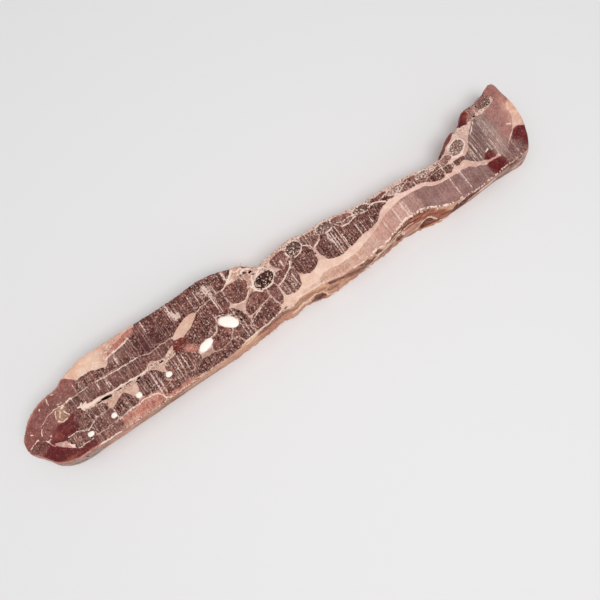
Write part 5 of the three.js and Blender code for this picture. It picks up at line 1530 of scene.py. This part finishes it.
def threads(finish):
    """All torn threads as one mesh. Each is a tube along a parabola from its foot to its tip, thinning to a
    point, and starts just inside the edge of the cut."""
    draw = np.random.default_rng(61)
    feet, tips, widths = [], [], []
    for count, (start, end), side, length, width, height in THREADS:
        edge = FAR_EDGE if side == "far" else NEAR_EDGE
        x = draw.uniform(start, end, count)
        outward_y = 1.0 if side == "far" else -1.0
        y = (np.interp(x, edge[0], edge[1])
             + outward_y * stand(np.interp(x, edge[0], edge[2]), height / THICKNESS))
        reach = length * draw.uniform(0.4, 1.3, count)
        bend = draw.uniform(-0.9, 0.9, count)
        z = height + draw.uniform(-0.6, 0.5, count)
        feet.append(np.stack([x, y - outward_y * 0.5, z], 1))
        tips.append(np.stack([x + bend * reach, y + outward_y * reach * 0.8, z + reach
                              * draw.uniform(-0.5, 0.2, count)], 1))
        widths.append(width * draw.uniform(0.6, 1.3, count))
    feet.append(np.array([foot for foot, tip, width in WHISKERS], float))
    tips.append(np.array([tip for foot, tip, width in WHISKERS], float))
    widths.append(np.array([width for foot, tip, width in WHISKERS]))
    foot, tip, width = np.concatenate(feet), np.concatenate(tips), np.concatenate(widths)
    u = np.linspace(0, 1, THREAD_RINGS)[None, :, None]
    way = (tip - foot)[:, None]
    sag = draw.uniform(-0.25, 0.25, (len(foot), 1, 3)) * np.linalg.norm(way, axis=2, keepdims=True)
    centre = foot[:, None] + way * u + sag * u * (1 - u) * 4
    sideways = np.cross(way, [0.0, 0.0, 1.0])
    sideways = sideways / np.linalg.norm(sideways, axis=2, keepdims=True)
    upward = np.cross(sideways, way / np.linalg.norm(way, axis=2, keepdims=True))
    around = np.linspace(0, 2 * np.pi, THREAD_SIDES, endpoint=False)
    radius = width[:, None, None, None] / 2 * (1.02 - u[..., None]) ** 0.6
    rings = centre[:, :, None] + radius * (np.cos(around)[None, None, :, None] * sideways[:, :, None]
                                           + np.sin(around)[None, None, :, None] * upward[:, :, None])
    rings = np.concatenate([np.repeat(centre[:, :1, None], THREAD_SIDES, axis=2), rings,
                            np.repeat(centre[:, -1:, None], THREAD_SIDES, axis=2)], axis=1)
    one = ring_quads(THREAD_RINGS + 2, THREAD_SIDES)
    step = (THREAD_RINGS + 2) * THREAD_SIDES
    faces = (one[None] + np.arange(len(foot))[:, None, None] * step).reshape(-1, 4)
    return shown("torn_threads", rings.reshape(-1, 3), faces, {}, [finish])


# ---- Floor, light and camera ----

CAMERA_PLACE = (-65.7, -98.0, 526.6)
CAMERA_TURN = (9.4243, -0.7199, -35.4107)


def stage():
    """A plain pale floor, a broad soft light from the near side and a fill from above, and the camera."""
    scene = bpy.context.scene
    scene.view_settings.view_transform = "Standard"
    bpy.ops.mesh.primitive_plane_add(size=40)
    floor = bpy.context.object
    floor.name = "floor"
    paper = Finish("pale_floor")
    floor.data.materials.append(paper.surface(Base_Color=(0.83, 0.825, 0.83, 1), Roughness=0.95))

    world = bpy.data.worlds.new("studio")
    scene.world = world
    world.use_nodes = True
    world.node_tree.nodes["Background"].inputs["Color"].default_value = (1.0, 0.99, 0.985, 1)
    world.node_tree.nodes["Background"].inputs["Strength"].default_value = 0.46

    for name, place, size, power in (("key", (0.1, -0.45, 1.5), 0.9, 10.5),
                                     ("fill", (-0.4, 0.1, 1.8), 1.6, 6)):
        lamp = bpy.data.lights.new(name, "AREA")
        lamp.shape = "DISK"
        lamp.size = size
        lamp.energy = power
        holder = bpy.data.objects.new(name, lamp)
        holder.location = place
        holder.rotation_euler = (-Vector(place)).to_track_quat("-Z", "Y").to_euler()
        scene.collection.objects.link(holder)

    lens = bpy.data.cameras.new("camera")
    lens.sensor_width = 36
    lens.lens = 36
    lens.clip_start = 0.01
    camera = bpy.data.objects.new("camera", lens)
    camera.location = (np.array(CAMERA_PLACE) + SHIFT) * MM
    camera.rotation_euler = Euler(np.radians(CAMERA_TURN), "XYZ")
    scene.collection.objects.link(camera)
    scene.camera = camera


stage()
flesh_finish = sawn_flesh()
cut_face("sawn_face_tail", 0, CUT_STATIONS // 2 + 1, flesh_finish)
cut_face("sawn_face_head", CUT_STATIONS // 2, CUT_STATIONS, flesh_finish)
flanks(natural_wall(), flesh_finish)
bone_finish, gristle_glare_finish = marrow_bone(), gristle_and_glare()
for rib in RIB_ENDS:
    rib_end(*rib, gristle_glare_finish if "gristle" in rib[0] else bone_finish)
scrap_finish = wet_scrap()
for scrap in FLAPS:
    flap(*scrap, scrap_finish)
threads(dry_fibre())
